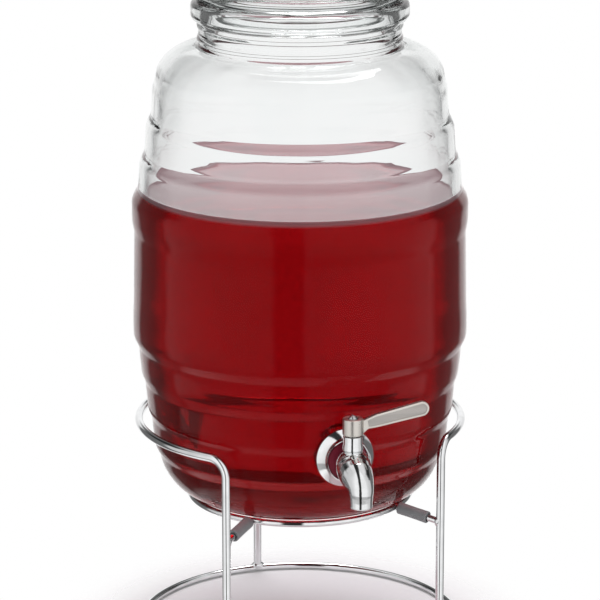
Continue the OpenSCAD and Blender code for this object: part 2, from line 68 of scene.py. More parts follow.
# Outlines on the tap, as steps in millimetres outwards and along the axis that they are turned round
NECK_BEAD = ((0.3, 0.8), (0.5, 1.8), (0.4, 3), (0, 5.5))
RING_RIM = ((-0.5, 0), (0, 0.5), (-0.1, 1.1))
RING_CONE = ((1.6, 4.6), (1.25, 5.3))
RING_LIP = ((1.1, -0.7), (0.9, -0.15), (0.55, 0), (0.2, -0.15), (0, -0.5))
UP = Vector((0, 0, 1))
WHITE = (1.0, 1.0, 1.0, 1.0)


def srgb(hex_value):
    """Linear RGBA of an sRGB hex colour."""
    parts = [int(hex_value[i:i + 2], 16) / 255 for i in (1, 3, 5)]
    return [c / 12.92 if c <= 0.04045 else ((c + 0.055) / 1.055) ** 2.4 for c in parts] + [1.0]


def length(name, description, millimetres):
    """A length that a user may change, kept in metres."""
    return FloatProperty(name=name, description=description, default=millimetres * MM,
                         min=0.0, precision=4, subtype="DISTANCE", unit="LENGTH")


def angle(name, description, degrees):
    """An angle that a user may change, kept in radians."""
    return FloatProperty(name=name, description=description, default=math.radians(degrees),
                         subtype="ANGLE", unit="ROTATION")


def fraction(name, description, value):
    """A share of one that a user may change."""
    return FloatProperty(name=name, description=description, default=value, min=0.0, max=1.0,
                         subtype="FACTOR")


def position(name, description, metres):
    """A place that a user may change."""
    return FloatVectorProperty(name=name, description=description, default=metres, size=3,
                               subtype="TRANSLATION", unit="LENGTH")


def colour(name, description, hex_value):
    """A colour that a user may change."""
    return FloatVectorProperty(name=name, description=description, default=srgb(hex_value),
                               size=4, min=0.0, max=1.0, subtype="COLOR")


def corner(node, side, axis):
    """One coordinate of a node's box in the frame: side 0 is low and 1 high."""
    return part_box(node)[side][axis]


def middle(node, axis):
    """Middle of a node's box along an axis."""
    return (corner(node, 0, axis) + corner(node, 1, axis)) / 2


# Sizes and colours

class JarSizes(bpy.types.PropertyGroup):
    """Sizes of the glass jar."""
    belly_r: length("Belly radius", "Largest outer radius, at the hoops", 110)
    belly_h: length("Belly height", "Height of the belly with both hoops", 95)
    hoop_h: length("Hoop height", "Height of each hoop that borders the belly", 18)
    hoop_rise: length("Upper hoop rise", "How far the upper hoop stands out from the panel", 1.4)
    low_rise: length("Lower hoop rise", "How far the lower hoop stands out from the panel", 0.42)
    tier_count: IntProperty(name="Tiers", description="Tiers above the belly, and again below it",
                            default=3, min=1)
    tier_h: length("Tier height", "Height of one tier", 24.6)
    upper_step: length("Upper step", "Radius lost from tier to tier above the belly", 4.6)
    lower_step: length("Lower step", "Radius lost from tier to tier below the belly", 4)
    upper_taper: length("Upper taper", "Radius that one upper tier loses along its own height", 1.0)
    lower_taper: length("Lower taper", "Radius that one lower tier gains along its own height", 1.4)
    step_h: length("Step height", "Height of the rounded step between two tiers", 9)
    heel_r: length("Heel radius", "Radius of the rounded heel", 34)
    wall: length("Wall", "Thickness of the glass wall", 6)
    floor_t: length("Floor", "Thickness of the glass floor", 9)
    punt_r: length("Punt radius", "Radius of the hollow under the floor", 50)
    punt_h: length("Punt depth", "Depth of the hollow under the floor", 3)
    punt_edge: length("Punt edge", "Width of the hollow's sloped edge", 6)
    shoulder_h: length("Shoulder height", "Height from the top tier to the neck", 24.6)
    shoulder_step: length("Shoulder step", "Radius lost where the shoulder starts", 2.6)
    neck_r: length("Neck radius", "Outer radius of the neck", 65.7)
    neck_h: length("Neck height", "Height of the neck below the lip", 17)
    neck_fillet: length("Neck fillet", "Hollow corner between shoulder and neck", 2.5)
    ring_h: length("Ring height", "Height of each thin ring on the neck", 4.4)
    ring_rise: length("Ring rise", "How far the thin rings stand out", 1.2)
    ring_pitch: length("Ring pitch", "Distance between the thin rings", 8.6)
    neck_wall: length("Neck wall", "Thickness of the glass in the neck", 6)
    lip_out: length("Lip width", "How far the rolled lip stands out", 5)
    lip_h: length("Lip height", "Height of the rolled lip", 13.6)
    lip_round: length("Lip rounding", "Rounding of the lip's outer edges", 4.4)
    mouth_round: length("Mouth rounding", "Rounding of the lip's inner edge", 2)
    pad_r: length("Pad radius", "Radius of the flat pad round the tap hole", 14.2)
    pad_blend: length("Pad blend", "Width over which the pad runs into the wall", 5)
    seat_r: length("Inner seat radius", "Radius of the flat seat behind the tap hole", 15.2)
    seat_blend: length("Seat blend", "Width over which the seat runs into the wall", 10)
    hole_r: length("Hole radius", "Radius of the tap hole", 8.6)
    edge_soft: length("Edge softness", "Rounding of the neck's outer edges by the mould", 0.8)
    tier_soft: length("Tier softness", "Rounding of the tiers' outer edges by the mould", 1.0)
    inner_soft: length("Inner softness", "Rounding of the inside, which follows the tiers softly", 3)


class LidSizes(bpy.types.PropertyGroup):
    """Sizes of the lid and its seal."""
    lid_r: length("Flange radius", "Radius of the lid's flange", 68.6)
    flange_t: length("Flange thickness", "Thickness of the lid's flange", 8)
    flange_land: length("Flange step", "Width of the step on top of the flange", 7)
    dome_h: length("Dome rise", "Rise of the dome above the flange", 15)
    lid_wall: length("Wall", "Thickness of the lid's glass", 6)
    collar_r: length("Collar radius", "Radius of the collar in the mouth", 55.6)
    knob_r: length("Knob radius", "Radius of the ball knob", 16)
    knob_neck_r: length("Knob neck radius", "Radius of the knob's neck", 8.5)
    knob_neck_h: length("Knob neck height", "Height of the neck between dome and ball", 5)
    edge_soft: length("Edge softness", "Rounding of the edges by the mould", 0.9)
    rib_depth: length("Seal rib depth", "Depth of the grooves between the seal's ribs", 0.5)
    rib_count: IntProperty(name="Seal grooves", description="Grooves round the seal", default=3, min=1)
    seal_edge: length("Seal edge", "Bevel of the seal's inner edges", 0.3)


class TapSizes(bpy.types.PropertyGroup):
    """Sizes of the tap."""
    shank_r: length("Shank radius", "Radius of the threaded shank", 7.9)
    thread_pitch: length("Thread pitch", "Pitch of the shank's thread", 1.5)
    thread_depth: length("Thread depth", "Depth of the shank's thread", 0.7)
    clamp_r: length("Collar radius", "Radius of the clamping collar", 12.9)
    clamp_t: length("Collar thickness", "Thickness of the clamping collar", 3)
    chamber_r: length("Chamber radius", "Radius of the round valve chamber", 10.9)
    ring_r: length("Cover ring radius", "Radius of the conical cover ring", 19)
    tower_r: length("Upright radius", "Radius of the upright neck", 6.2)
    tower_h: length("Upright height", "Height of the upright neck above the tap's axis", 19.6)
    root_r: length("Root radius", "Radius of the neck between collar and chamber", 7.1)
    horn_r: length("Horn radius", "Radius of the spout where it leaves the chamber", 10.9)
    spout_r: length("Nozzle radius", "Radius of the spout at its outlet", 7.1)
    outlet_r: length("Outlet radius", "Radius of the opening of the spout", 5.4)
    passage_r: length("Passage radius", "Radius of the passage in the shank", 3)
    spout_bend: length("Spout bend", "Bend of the spout along its middle", 13)
    spout_reach: length("Spout reach", "From the valve's axis to the outlet's axis", 18.5)
    nozzle_h: length("Nozzle length", "Length of the straight nozzle", 9)
    casting_cell: length("Casting cell", "Cell size in which the casting's parts are joined", 0.28)


class LeverSizes(bpy.types.PropertyGroup):
    """Sizes of the lever and its screw."""
    hub_r: length("Hub radius", "Radius of the lever's hub", 6.6)
    lever_l: length("Length", "From the valve's axis to the lever's tip", 50.8)
    hub_edge: length("Hub edge", "Rounding of the hub's edges", 0.6)
    socket_r: length("Socket radius", "Radius of the hub's socket on the valve plug", 2.85)
    socket_h: length("Socket depth", "Depth of the hub's socket", 5.7)
    rise: angle("Slope", "Slope of the lever", 10)
    blade_t: length("Blade thickness", "Thickness of the blade", 3.4)
    root_w: length("Root width", "Width of the blade where it leaves the hub", 7)
    tip_w: length("Tip width", "Width of the blade at its round tip", 9.4)
    root_l: length("Root length", "From the valve's axis to the sunk panel", 9.5)
    panel_d: length("Panel depth", "Depth of the panel sunk into each side", 0.6)
    panel_rim: length("Panel rim", "Rim left round the sunk panel", 1.1)
    head_r: length("Screw head radius", "Radius of the screw's domed head", 3)
    head_h: length("Screw head height", "Height of the screw's domed head", 2.2)
    screw_r: length("Screw radius", "Radius of the screw's shank", 1.5)
    slot_w: length("Slot width", "Width of the screw's slot", 0.8)
    slot_d: length("Slot depth", "Depth of the screw's slot", 1.1)
    cast_cell: length("Casting cell", "Cell size in which hub and blade are joined", 0.22)


class StandSizes(bpy.types.PropertyGroup):
    """Sizes of the wire stand."""
    rail_wire: length("Rail wire", "Thickness of the wire of the rail and legs", 5.5)
    base_wire: length("Base wire", "Thickness of the wire of the base ring", 5)
    seat_wire: length("Seat wire", "Thickness of the wire of the seat ring", 4.2)
    strut_wire: length("Strut wire", "Thickness of the wire of the struts", 4.5)
    leg_bend: length("Leg bend", "Radius of the bends from the rail into the legs", 12)
    leg_angle: angle("Leg angle", "Angle of each front leg from the tap", 42.2)
    strut_drop: length("Strut drop", "Drop of the struts from the seat ring to the legs", 4.5)
    sleeve_d: length("Sleeve thickness", "Thickness of the soft sleeves", 8)
    sleeve_l: length("Sleeve length", "Length of each sleeve", 22)
    sleeve_bore: length("Sleeve bore", "Radius of the hole in each sleeve", 2.45)
    sleeve_edge: length("Sleeve edge", "Rounding of each sleeve's ends", 0.7)
    sleeve_waist: length("Sleeve waist", "How far each sleeve draws in at its middle", 0.12)
    bead_rise: length("Weld rise", "How far a weld stands out from the wire", 0.4)


class DrinkSizes(bpy.types.PropertyGroup):
    """Sizes of the drink in the jar."""
    level: length("Level", "Height of the drink above the table", 303)
    meniscus: length("Meniscus", "How far the drink climbs up the glass", 1.6)
    climb_w: length("Climb width", "Distance from the glass in which the climb falls off", 1.6)
    soak: length("Soak", "How far the drink's skin reaches into the glass, so no air lies between", 0.25)


class Finishes(bpy.types.PropertyGroup):
    """Colours of the finishes."""
    glass: colour("Glass", "Colour that a thick run of the glass lets through", "#b8c0be")
    drink: colour("Drink", "Colour that the drink lets through", "#de3058")
    pulp: colour("Pulp", "Light that the pulp in the drink gives back", "#be161e")
    # Painted reflection: pale colour on the drink's top that stands in for the white studio mirrored on
    # its surface
    painted_reflection: colour("Film", "Film of fine bubbles on top of the drink", "#ffd6de")
    chrome: colour("Chrome", "Bright chromium plating", "#f2f3f4")
    lever: colour("Lever", "Satin nickel plating of the lever", "#b6b1ad")
    # Lighter colour given to the lever's rims and hub, round the sunk panels
    lever_rim: colour("Lever rim", "Nickel that is rubbed bright", "#dcd7d0")
    steel: colour("Steel", "Turned stainless steel", "#c3c4c4")
    sleeve: colour("Sleeve", "Extruded soft vinyl", "#96979a")
    silicone: colour("Seal", "Moulded translucent silicone", "#dfe1dd")
    # Painted shade: this dark red stands in for the shaded glass pad and drink seen inside the bright
    # cover ring
    burgundy: colour("Recess ring", "Moulded burgundy silicone", "#92203a")
    nitrile: colour("O-ring", "Moulded nitrile rubber", "#1c1c1d")
    # Its faint pink is painted light: the red light that passes through the drink, on white paper
    floor: colour("Floor", "Matte paper under the object", "#fbf4f8")


class StageSetup(bpy.types.PropertyGroup):
    """Camera, light and floor."""
    camera_place: position("Camera", "Place of the camera", (-0.568, -1.955, 0.780))
    aim_z: length("Aim height", "Height on the jar's axis that the camera looks at", 226.8)
    lens: FloatProperty(name="Lens", description="Focal length in millimetres", default=192.0,
                        unit="CAMERA")
    floor_r: length("Floor radius", "Radius of the floor", 1200)
    lamp_place: position("Lamp", "Place of the lamp overhead", (0.25, 0.5, 1.5))
    lamp_size: length("Lamp size", "Diameter of the lamp overhead", 900)
    lamp_power: FloatProperty(name="Lamp power", description="Power of the lamp overhead", default=12.0,
                              unit="POWER")
    gap_dark: fraction("Gap", "Brightness of the gap between the front screens", 0.03)
    gap_angle: angle("Gap angle", "Angle of the gap right of the camera", -7)
    gap_half: angle("Gap half", "Half of the angle that the gap takes up", 10)
    side_dark: fraction("Sides", "Brightness between screens and backdrop", 0.15)
    screen_end: angle("Screen end", "Angle from the camera where the screens end", 104)
    backdrop_end: angle("Backdrop end", "Angle from the camera where the backdrop ends", 144)
    top_dark: fraction("Above backdrop", "Brightness above the backdrop", 0.15)
    floor_glow: fraction("Far floor", "Share of light from the floor in front", 0.5)
    roof: fraction("Roof", "Brightness of the roof", 0.8)


class DispenserSettings(bpy.types.PropertyGroup):
    """Everything that a user would change."""
    jar: PointerProperty(type=JarSizes)
    lid: PointerProperty(type=LidSizes)
    tap: PointerProperty(type=TapSizes)
    lever: PointerProperty(type=LeverSizes)
    stand: PointerProperty(type=StandSizes)
    drink: PointerProperty(type=DrinkSizes)
    finish: PointerProperty(type=Finishes)
    stage: PointerProperty(type=StageSetup)


def settings():
    """The scene's dispenser settings."""
    return bpy.context.scene.dispenser


# Outlines

def arc(cx, cy, rx, ry, start, end, steps=18):
    """Points along an elliptical arc, in degrees."""
    turns = [math.radians(start + (end - start) * i / steps) for i in range(steps + 1)]
    return [(cx + rx * math.cos(t), cy + ry * math.sin(t)) for t in turns]


def rounded_step(low, high, steps=18):
    """Step between two points whose wider side is rounded over and whose narrower side creases."""
    narrow, wide = sorted((low, high))
    points = [(narrow[0] + (wide[0] - narrow[0]) * math.sin(math.pi / 2 * t),
               narrow[1] + (wide[1] - narrow[1]) * t) for t in np.linspace(0, 1, steps + 1)]
    return points if narrow == low else points[::-1]


def soften(points, sigma, step=0.4 * MM):
    """Outline in even steps with every corner rounded. The ends stay in place."""
    raw = np.array(points, dtype=float)
    run = np.concatenate([[0.0], np.cumsum(np.hypot(*np.diff(raw, axis=0).T))])
    even = np.linspace(0.0, run[-1], int(run[-1] / step) + 1)
    line = np.column_stack([np.interp(even, run, raw[:, k]) for k in (0, 1)])
    half = int(4 * sigma / step)
    kernel = np.exp(-0.5 * (np.arange(-half, half + 1) * step / sigma) ** 2)
    padded = np.concatenate([2 * line[0] - line[half:0:-1], line,
                             2 * line[-1] - line[-2:-half - 2:-1]])
    return np.column_stack([np.convolve(padded[:, k], kernel / kernel.sum(), "valid")
                            for k in (0, 1)])


def thin(line, near=0.0, reach=0.0, fine=0.0, coarse=6 * MM, turn=5.0):
    """Outline without the points that neither turn it nor are needed for an even mesh.

    Its steps are fine within reach of the height near, and coarse elsewhere.
    """
    kept = [0]
    heading = np.unwrap(np.arctan2(*np.diff(line, axis=0).T[::-1]))
    for i in range(1, len(line) - 1):
        turned = abs(heading[i] - heading[kept[-1]]) > math.radians(turn)
        gap = fine if abs(line[i][1] - near) < reach else coarse
        far = np.hypot(*(line[i] - line[kept[-1]])) > gap
        if turned or far:
            kept.append(i)
    return [tuple(line[i]) for i in kept] + [tuple(line[-1])]


def jar_levels(jar):
    """Heights of the jar's parts from the foot up, and its bands as (low z, high z, low r, high r)."""
    foot = corner("glass_jar", 0, 2)
    lower = foot + jar.heel_r
    belly = lower + jar.tier_count * jar.tier_h
    upper = belly + jar.belly_h
    shoulder = upper + jar.tier_count * jar.tier_h
    bands = []
    for k in range(jar.tier_count):
        z, r = lower + k * jar.tier_h, jar.belly_r - jar.lower_step * (jar.tier_count - k)
        bands.append((z, z + jar.tier_h, r - jar.lower_taper / 2, r + jar.lower_taper / 2))
    bands += [(belly, belly + jar.hoop_h, jar.belly_r, jar.belly_r),
              (belly + jar.hoop_h, upper - jar.hoop_h, jar.belly_r - jar.low_rise,
               jar.belly_r - jar.hoop_rise),
              (upper - jar.hoop_h, upper, jar.belly_r, jar.belly_r)]
    for k in range(jar.tier_count):
        z, r = upper + k * jar.tier_h, jar.belly_r - jar.upper_step * (k + 1)
        bands.append((z, z + jar.tier_h, r + jar.upper_taper / 2, r - jar.upper_taper / 2))
    return foot, lower, shoulder, bands


def jar_outside(jar):
    """Outside of the jar from the middle of the base to the rim."""
    foot, lower, shoulder, bands = jar_levels(jar)
    heel_max = jar.belly_r - jar.lower_step * (jar.tier_count + 1)
    foot_r = heel_max - jar.heel_r
    heel_end = math.degrees(math.acos(jar.step_h / 2 / jar.heel_r))
    heel = arc(foot_r, lower, jar.heel_r, jar.heel_r, -90, heel_end - 90, 40)
    ends = [heel[-1]]
    for low_z, high_z, low_r, high_r in bands:
        ends += [(low_r, low_z + jar.step_h / 2), (high_r, high_z - jar.step_h / 2)]
    shoulder_r = jar.belly_r - jar.upper_step * jar.tier_count - jar.shoulder_step
    shoulder_foot = (shoulder_r, shoulder + jar.step_h / 2)
    ends.append(shoulder_foot)
    neck = shoulder + jar.shoulder_h
    lip, rim = neck + jar.neck_h, neck + jar.neck_h + jar.lip_h
    lip_r, corner_r = jar.neck_r + jar.lip_out, jar.neck_r + jar.neck_fillet
    points = [(0, foot + jar.punt_h), (jar.punt_r - jar.punt_edge, foot + jar.punt_h),
              (jar.punt_r, foot)] + heel
    for low, high in zip(ends[0::2], ends[1::2]):
        points += rounded_step(low, high)
    points += arc(corner_r, shoulder_foot[1], shoulder_r - corner_r, neck - shoulder_foot[1], 0, 90)
    points += arc(corner_r, neck + jar.neck_fillet, jar.neck_fillet, jar.neck_fillet, 270, 180)
    ring_middle = neck + (jar.neck_fillet + jar.neck_h) / 2
    for side in (-1, 1):
        z = ring_middle + side * jar.ring_pitch / 2
        points += [(jar.neck_r + jar.ring_rise * math.sin(math.pi * t), z + jar.ring_h * (t - 0.5))
                   for t in np.linspace(0, 1, 13)]
    points += [(jar.neck_r, lip)]
    points += arc(lip_r - jar.lip_round, lip + jar.lip_round, jar.lip_round, jar.lip_round, -90, 0)
    points += arc(lip_r - jar.lip_round, rim - jar.lip_round, jar.lip_round, jar.lip_round, 0, 90)
    return points


def jar_inside(jar):
    """Inside of the jar from the middle of the floor to the rim."""
    foot, lower, shoulder, bands = jar_levels(jar)
    heel_r = jar.heel_r - jar.floor_t
    heel_x = jar.belly_r - jar.lower_step * (jar.tier_count + 1) - jar.wall - heel_r
    mouth_r = jar.neck_r - jar.neck_wall
    shoulder_r = jar.belly_r - jar.upper_step * jar.tier_count - jar.shoulder_step - jar.wall
    rim = shoulder + jar.shoulder_h + jar.neck_h + jar.lip_h
    straight_end = rim - 4 * jar.mouth_round
    points = [(0, foot + jar.floor_t)] + arc(heel_x, lower, heel_r, heel_r, -90, 0)
    for low_z, high_z, low_r, high_r in bands:
        points += [(low_r - jar.wall, low_z + jar.step_h / 2),
                   (high_r - jar.wall, high_z - jar.step_h / 2)]
    points += arc(mouth_r, shoulder, shoulder_r - mouth_r, jar.shoulder_h - jar.wall, 0, 90)
    soft = soften(points + [(mouth_r, straight_end)], jar.inner_soft)
    mouth = arc(mouth_r + jar.mouth_round, rim - jar.mouth_round,
                jar.mouth_round, jar.mouth_round, 180, 90)
    return np.concatenate([soft, mouth])


# Meshes

def turned_angles(fine=0.0, half=0.0, coarse=1.9):
    """Angles round an axis in radians, finer within half degrees of the tap, which is at -90."""
    turns = list(np.arange(-half, half, fine)) if fine else []
    count = round((360 - 2 * half) / coarse)
    turns += list(np.linspace(half, 360 - half, count, endpoint=False))
    return [math.radians(turn - 90) for turn in turns]


def join_rings(mesh, rings, closed=False, capped=False):
    """Adds faces between rings of vertices, of which a ring may be a single point."""
    count = max(len(ring) for ring in rings)
    for low, high in pairwise(rings + rings[:1] if closed else rings):
        for i in range(count):
            j = (i + 1) % count
            corners = [low[i % len(low)], low[j % len(low)], high[j % len(high)], high[i % len(high)]]
            mesh.faces.new(dict.fromkeys(corners))
    if capped:
        mesh.faces.new(rings[0])
        mesh.faces.new(rings[-1])


def lathe(outline, angles, place=Matrix(), closed=False, mesh=None):
    """Mesh of an outline of (radius, height) turned round +Z, and its rings of vertices."""
    mesh = mesh or bmesh.new()
    rings = []
    for r, z in outline:
        turns = angles if r > 1e-7 else [0.0]
        rings.append([mesh.verts.new(place @ Vector((r * math.cos(a), r * math.sin(a), z)))
                      for a in turns])
    join_rings(mesh, rings, closed)
    return mesh, rings


def sweep(stations, sides=24, closed=False, mesh=None):
    """Mesh of round wire through stations of (point, radius), without a twist."""
    mesh = mesh or bmesh.new()
    points = [Vector(point) for point, _ in stations]
    count = len(points)
    ahead = [points[(i + 1) % count if closed else min(i + 1, count - 1)] for i in range(count)]
    behind = [points[i - 1 if closed else max(i - 1, 0)] for i in range(count)]
    headings = [(a - b).normalized() for a, b in zip(ahead, behind)]
    side = UP if closed else headings[0].orthogonal().normalized()
    rings = []
    for i, (_, radius) in enumerate(stations):
        if i:
            side = headings[i - 1].rotation_difference(headings[i]) @ side
        other = headings[i].cross(side)
        rings.append([mesh.verts.new(points[i] + radius * (math.cos(a) * side + math.sin(a) * other))
                      for a in np.linspace(0, 2 * math.pi, sides, endpoint=False)])
    join_rings(mesh, rings, closed, capped=not closed)
    return mesh


def ring_path(radius, z, wire, bulge=0.0, bulge_angle=90.0, count=180):
    """Stations round a ring of wire, with the bulge of a butt weld at an angle from +X."""
    stations = []
    for turn in np.linspace(0, 360, count, endpoint=False):
        off = math.radians((turn - bulge_angle + 180) % 360 - 180) * radius
        a = math.radians(turn)
        stations.append(((radius * math.cos(a), radius * math.sin(a), z),
                         wire / 2 + bulge * math.exp(-(off / (wire / 2)) ** 2)))
    return stations


def new_object(name, mesh):
    """Object of a mesh under construction, with its faces turned outwards."""
    bmesh.ops.recalc_face_normals(mesh, faces=mesh.faces)
    data = bpy.data.meshes.new(name)
    mesh.to_mesh(data)
    mesh.free()
    made = bpy.data.objects.new(name, data)
    bpy.context.scene.collection.objects.link(made)
    return made


def bake(made):
    """Puts an object's modifiers into its mesh."""
    graph = bpy.context.evaluated_depsgraph_get()
    data = bpy.data.meshes.new_from_object(made.evaluated_get(graph))
    made.modifiers.clear()
    old, made.data = made.data, data
    data.name = made.name
    bpy.data.meshes.remove(old)


def cut(made, tool_mesh):
    """Takes a tool's shape out of an object."""
    tool = new_object("cutter", tool_mesh)
    change = made.modifiers.new("Cut", "BOOLEAN")
    change.operation, change.solver, change.object = "DIFFERENCE", "EXACT", tool
    bake(made)
    data = tool.data
    bpy.data.objects.remove(tool)
    bpy.data.meshes.remove(data)


def wear(made, rounds):
    """Rounds off every corner of an object's mesh a little, in a number of rounds."""
    soft = made.modifiers.new("Soften", "SMOOTH")
    soft.factor, soft.iterations = 0.5, rounds
    bake(made)


def cast(made, cell, rounds):
    """Joins the overlapping parts of a casting into one skin with soft corners."""
    join = made.modifiers.new("Join", "REMESH")
    join.mode, join.voxel_size, join.use_smooth_shade = "VOXEL", cell, True
    wear(made, rounds)


def finish(made, body, material, slot=None, nodes=(), sharp=35.0):
    """Gives a piece its material and body, shades it smooth with sharp edges, and hides the nodes that
    it stands for. The slot is not used.
    """
    made.data.materials.clear()
    made.data.materials.append(material)
    made.data.shade_smooth()
    made.data.set_sharp_from_angle(angle=math.radians(sharp))
    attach(made, body)
    if nodes:
        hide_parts(*nodes)


# Materials

def add_node(tree, kind, inputs=None, **options):
    """Adds a node with its options and its inputs, each a constant or another node's output."""
    node = tree.nodes.new(kind)
    for key, value in options.items():
        setattr(node, key, value)
    for socket, value in (inputs or {}).items():
        if isinstance(value, bpy.types.NodeSocket):
            tree.links.new(value, node.inputs[socket])
        else:
            node.inputs[socket].default_value = value
    return node


def blank(name):
    """Material of a name with its empty node tree, or with no tree where it is filled already."""
    known = bpy.data.materials.get(name)
    if known:
        return known, None
    made = bpy.data.materials.new(name)
    made.use_nodes = True
    made.node_tree.nodes.clear()
    return made, made.node_tree


def speckle(tree, millimetres, low, high, detail=2.0, stretch=(1, 1, 1)):
    """Output of a noise with spots of a real size, spread between two values."""
    place = add_node(tree, "ShaderNodeTexCoord").outputs["Object"]
    laid = add_node(tree, "ShaderNodeMapping", {"Vector": place, "Scale": stretch})
    spots = add_node(tree, "ShaderNodeTexNoise",
                     {"Vector": laid.outputs[0], "Scale": 1 / (millimetres * MM), "Detail": detail})
    return add_node(tree, "ShaderNodeMapRange",
                    {"Value": spots.outputs["Fac"], "From Min": 0.3, "From Max": 0.7,
                     "To Min": low, "To Max": high}).outputs["Result"]


def shade(tree, factor, dark, light):
    """Output of a colour between two, by a factor."""
    return add_node(tree, "ShaderNodeMix", {"Factor": factor, 6: dark, 7: light},
                    data_type="RGBA").outputs[2]


def darker(tint, share):
    """A colour with a share of its light."""
    return [c * share for c in tint[:3]] + [1.0]


def see_through(tree, face, shadow, tint, density):
    """Ends a clear material: lamps shine straight through it, and its depth colours what is seen."""
    clear = add_node(tree, "ShaderNodeBsdfTransparent", {"Color": shadow})
    path = add_node(tree, "ShaderNodeLightPath")
    mix = add_node(tree, "ShaderNodeMixShader",
                   {0: path.outputs["Is Shadow Ray"], 1: face.outputs[0], 2: clear.outputs[0]})
    depth = add_node(tree, "ShaderNodeVolumeAbsorption", {"Color": tint, "Density": density})
    add_node(tree, "ShaderNodeOutputMaterial", {"Surface": mix.outputs[0], "Volume": depth.outputs[0]})


def pressed_glass():
    """Soda-lime glass pressed in an iron mould.

    Clear where it is looked through squarely, and grey where the wall is seen along its length. Its
    skin waves a little where the mould chilled it, with a faint haze of handling.
    """
    made, tree = blank("Soda-lime glass, pressed")
    if not tree:
        return made
    wave = speckle(tree, 26, 0.0, 1.0, detail=1.0, stretch=(1, 1, 0.6))
    bump = add_node(tree, "ShaderNodeBump", {"Height": wave, "Strength": 0.35, "Distance": 0.5 * MM})
    glass = add_node(tree, "ShaderNodeBsdfPrincipled", {
        "Base Color": shade(tree, speckle(tree, 40, 0.0, 1.0), srgb("#fcfdfd"), srgb("#ffffff")),
        "Roughness": speckle(tree, 18, 0.0, 0.012), "IOR": 1.52, "Transmission Weight": 1.0,
        "Specular Tint": darker(WHITE, 0.1), "Normal": bump.outputs[0]})
    see_through(tree, glass, (0.93, 0.94, 0.94, 1.0), settings().finish.glass, 12.0)
    return made


def fruit_drink():
    """Strained red fruit drink: half clear and deep red, because fine pulp is still afloat in it.

    The pulp gives back some of the light, so nothing behind the drink turns black. Its top few
    millimetres are painted pale: a painted reflection of the white studio on the drink's surface.
    """
    made, tree = blank("Red fruit drink, strained")
    if not tree:
        return made
    still = speckle(tree, 30, 0.0, 1.0, detail=1.0)
    bump = add_node(tree, "ShaderNodeBump", {"Height": still, "Strength": 0.15, "Distance": 0.3 * MM})
    level, colours = settings().drink.level, settings().finish
    place = add_node(tree, "ShaderNodeTexCoord").outputs["Object"]
    height = add_node(tree, "ShaderNodeSeparateXYZ", {0: place}).outputs["Z"]
    # Painted reflection: the last millimetres below the level turn pale and less clear, standing in for
    # the white studio mirrored on the surface
    painted_reflection = add_node(tree, "ShaderNodeMapRange", {
        "Value": height, "From Min": level - 3 * MM, "From Max": level - MM}).outputs[0]
    open_share = add_node(tree, "ShaderNodeMapRange", {
        "Value": painted_reflection, "To Min": 0.68, "To Max": 0.26}).outputs[0]
    face = add_node(tree, "ShaderNodeBsdfPrincipled", {
        "Base Color": shade(tree, painted_reflection, colours.pulp, colours.painted_reflection),
        "Roughness": speckle(tree, 25, 0.0, 0.01), "IOR": 1.34,
        "Transmission Weight": open_share, "Specular Tint": darker(WHITE, 0.02),
        "Normal": bump.outputs[0]})
    see_through(tree, face, WHITE, colours.drink, 5.5)
    return made


def metal(name, tint, rough, worn, spot, peel, peel_depth, stretch=(1, 1, 1)):
    """A metal whose roughness wanders in spots and whose skin is not quite even.

    The spots, the skin's hills and the depth of the hills are in millimetres.
    """
    made, tree = blank(name)
    if not tree:
        return made
    haze = speckle(tree, spot, 0.0, 1.0, stretch=stretch)
    skin = speckle(tree, peel, 0.0, 1.0, detail=3.0, stretch=stretch)
    bump = add_node(tree, "ShaderNodeBump",
                    {"Height": skin, "Strength": 0.5, "Distance": peel_depth * MM})
    spread = add_node(tree, "ShaderNodeMapRange",
                      {"Value": haze, "To Min": rough, "To Max": worn})
    face = add_node(tree, "ShaderNodeBsdfPrincipled", {
        "Base Color": shade(tree, haze, tint, darker(tint, 0.9)), "Metallic": 1.0,
        "Roughness": spread.outputs[0], "Normal": bump.outputs[0]})
    add_node(tree, "ShaderNodeOutputMaterial", {"Surface": face.outputs[0]})
    return made


def plated_wire():
    """Drawn steel wire, polished and chromium plated: a bright mirror with faint drawing waves."""
    return metal("Chromium plated steel wire, drawn", settings().finish.chrome,
                 rough=0.04, worn=0.09, spot=9, peel=2.5, peel_depth=0.008)


def plated_casting():
    """Chromium plated brass casting: a mirror with the soft hills that polishing leaves."""
    return metal("Chromium plated brass, polished casting", settings().finish.chrome,
                 rough=0.05, worn=0.1, spot=7, peel=3.5, peel_depth=0.015)


def satin_nickel(blade_y, panel, rim):
    """Zinc alloy casting in satin nickel: warm grey, brushed along the lever, so it glows softly.

    The sunk panels keep the plain colour. The rims round them and the hub are given a lighter one.
    """
    made = metal("Zinc alloy, satin nickel plated", settings().finish.lever,
                 rough=0.26, worn=0.38, spot=5, peel=0.5, peel_depth=0.012, stretch=(0.12, 1, 1))
    tree = made.node_tree
    face = tree.nodes["Principled BSDF"]
    place = add_node(tree, "ShaderNodeTexCoord").outputs["Object"]
    y = add_node(tree, "ShaderNodeSeparateXYZ", {0: place}).outputs["Y"]
    off = add_node(tree, "ShaderNodeMath", {0: y, 1: blade_y}, operation="SUBTRACT").outputs[0]
    off = add_node(tree, "ShaderNodeMath", {0: off}, operation="ABSOLUTE").outputs[0]
    # Rims and hub get a lighter colour than the sunk panels
    lighter_rims = add_node(tree, "ShaderNodeMapRange", {
        "Value": off, "From Min": panel + 0.1 * MM, "From Max": rim - 0.2 * MM}).outputs[0]
    matte = face.inputs["Base Color"].links[0].from_socket
    tree.links.new(shade(tree, lighter_rims, matte, settings().finish.lever_rim), face.inputs["Base Color"])
    return made


def turned_steel():
    """Turned stainless steel: mid grey and half dull, with the fine marks of the tool."""
    return metal("Stainless steel, turned", settings().finish.steel,
                 rough=0.18, worn=0.3, spot=3, peel=0.4, peel_depth=0.01)


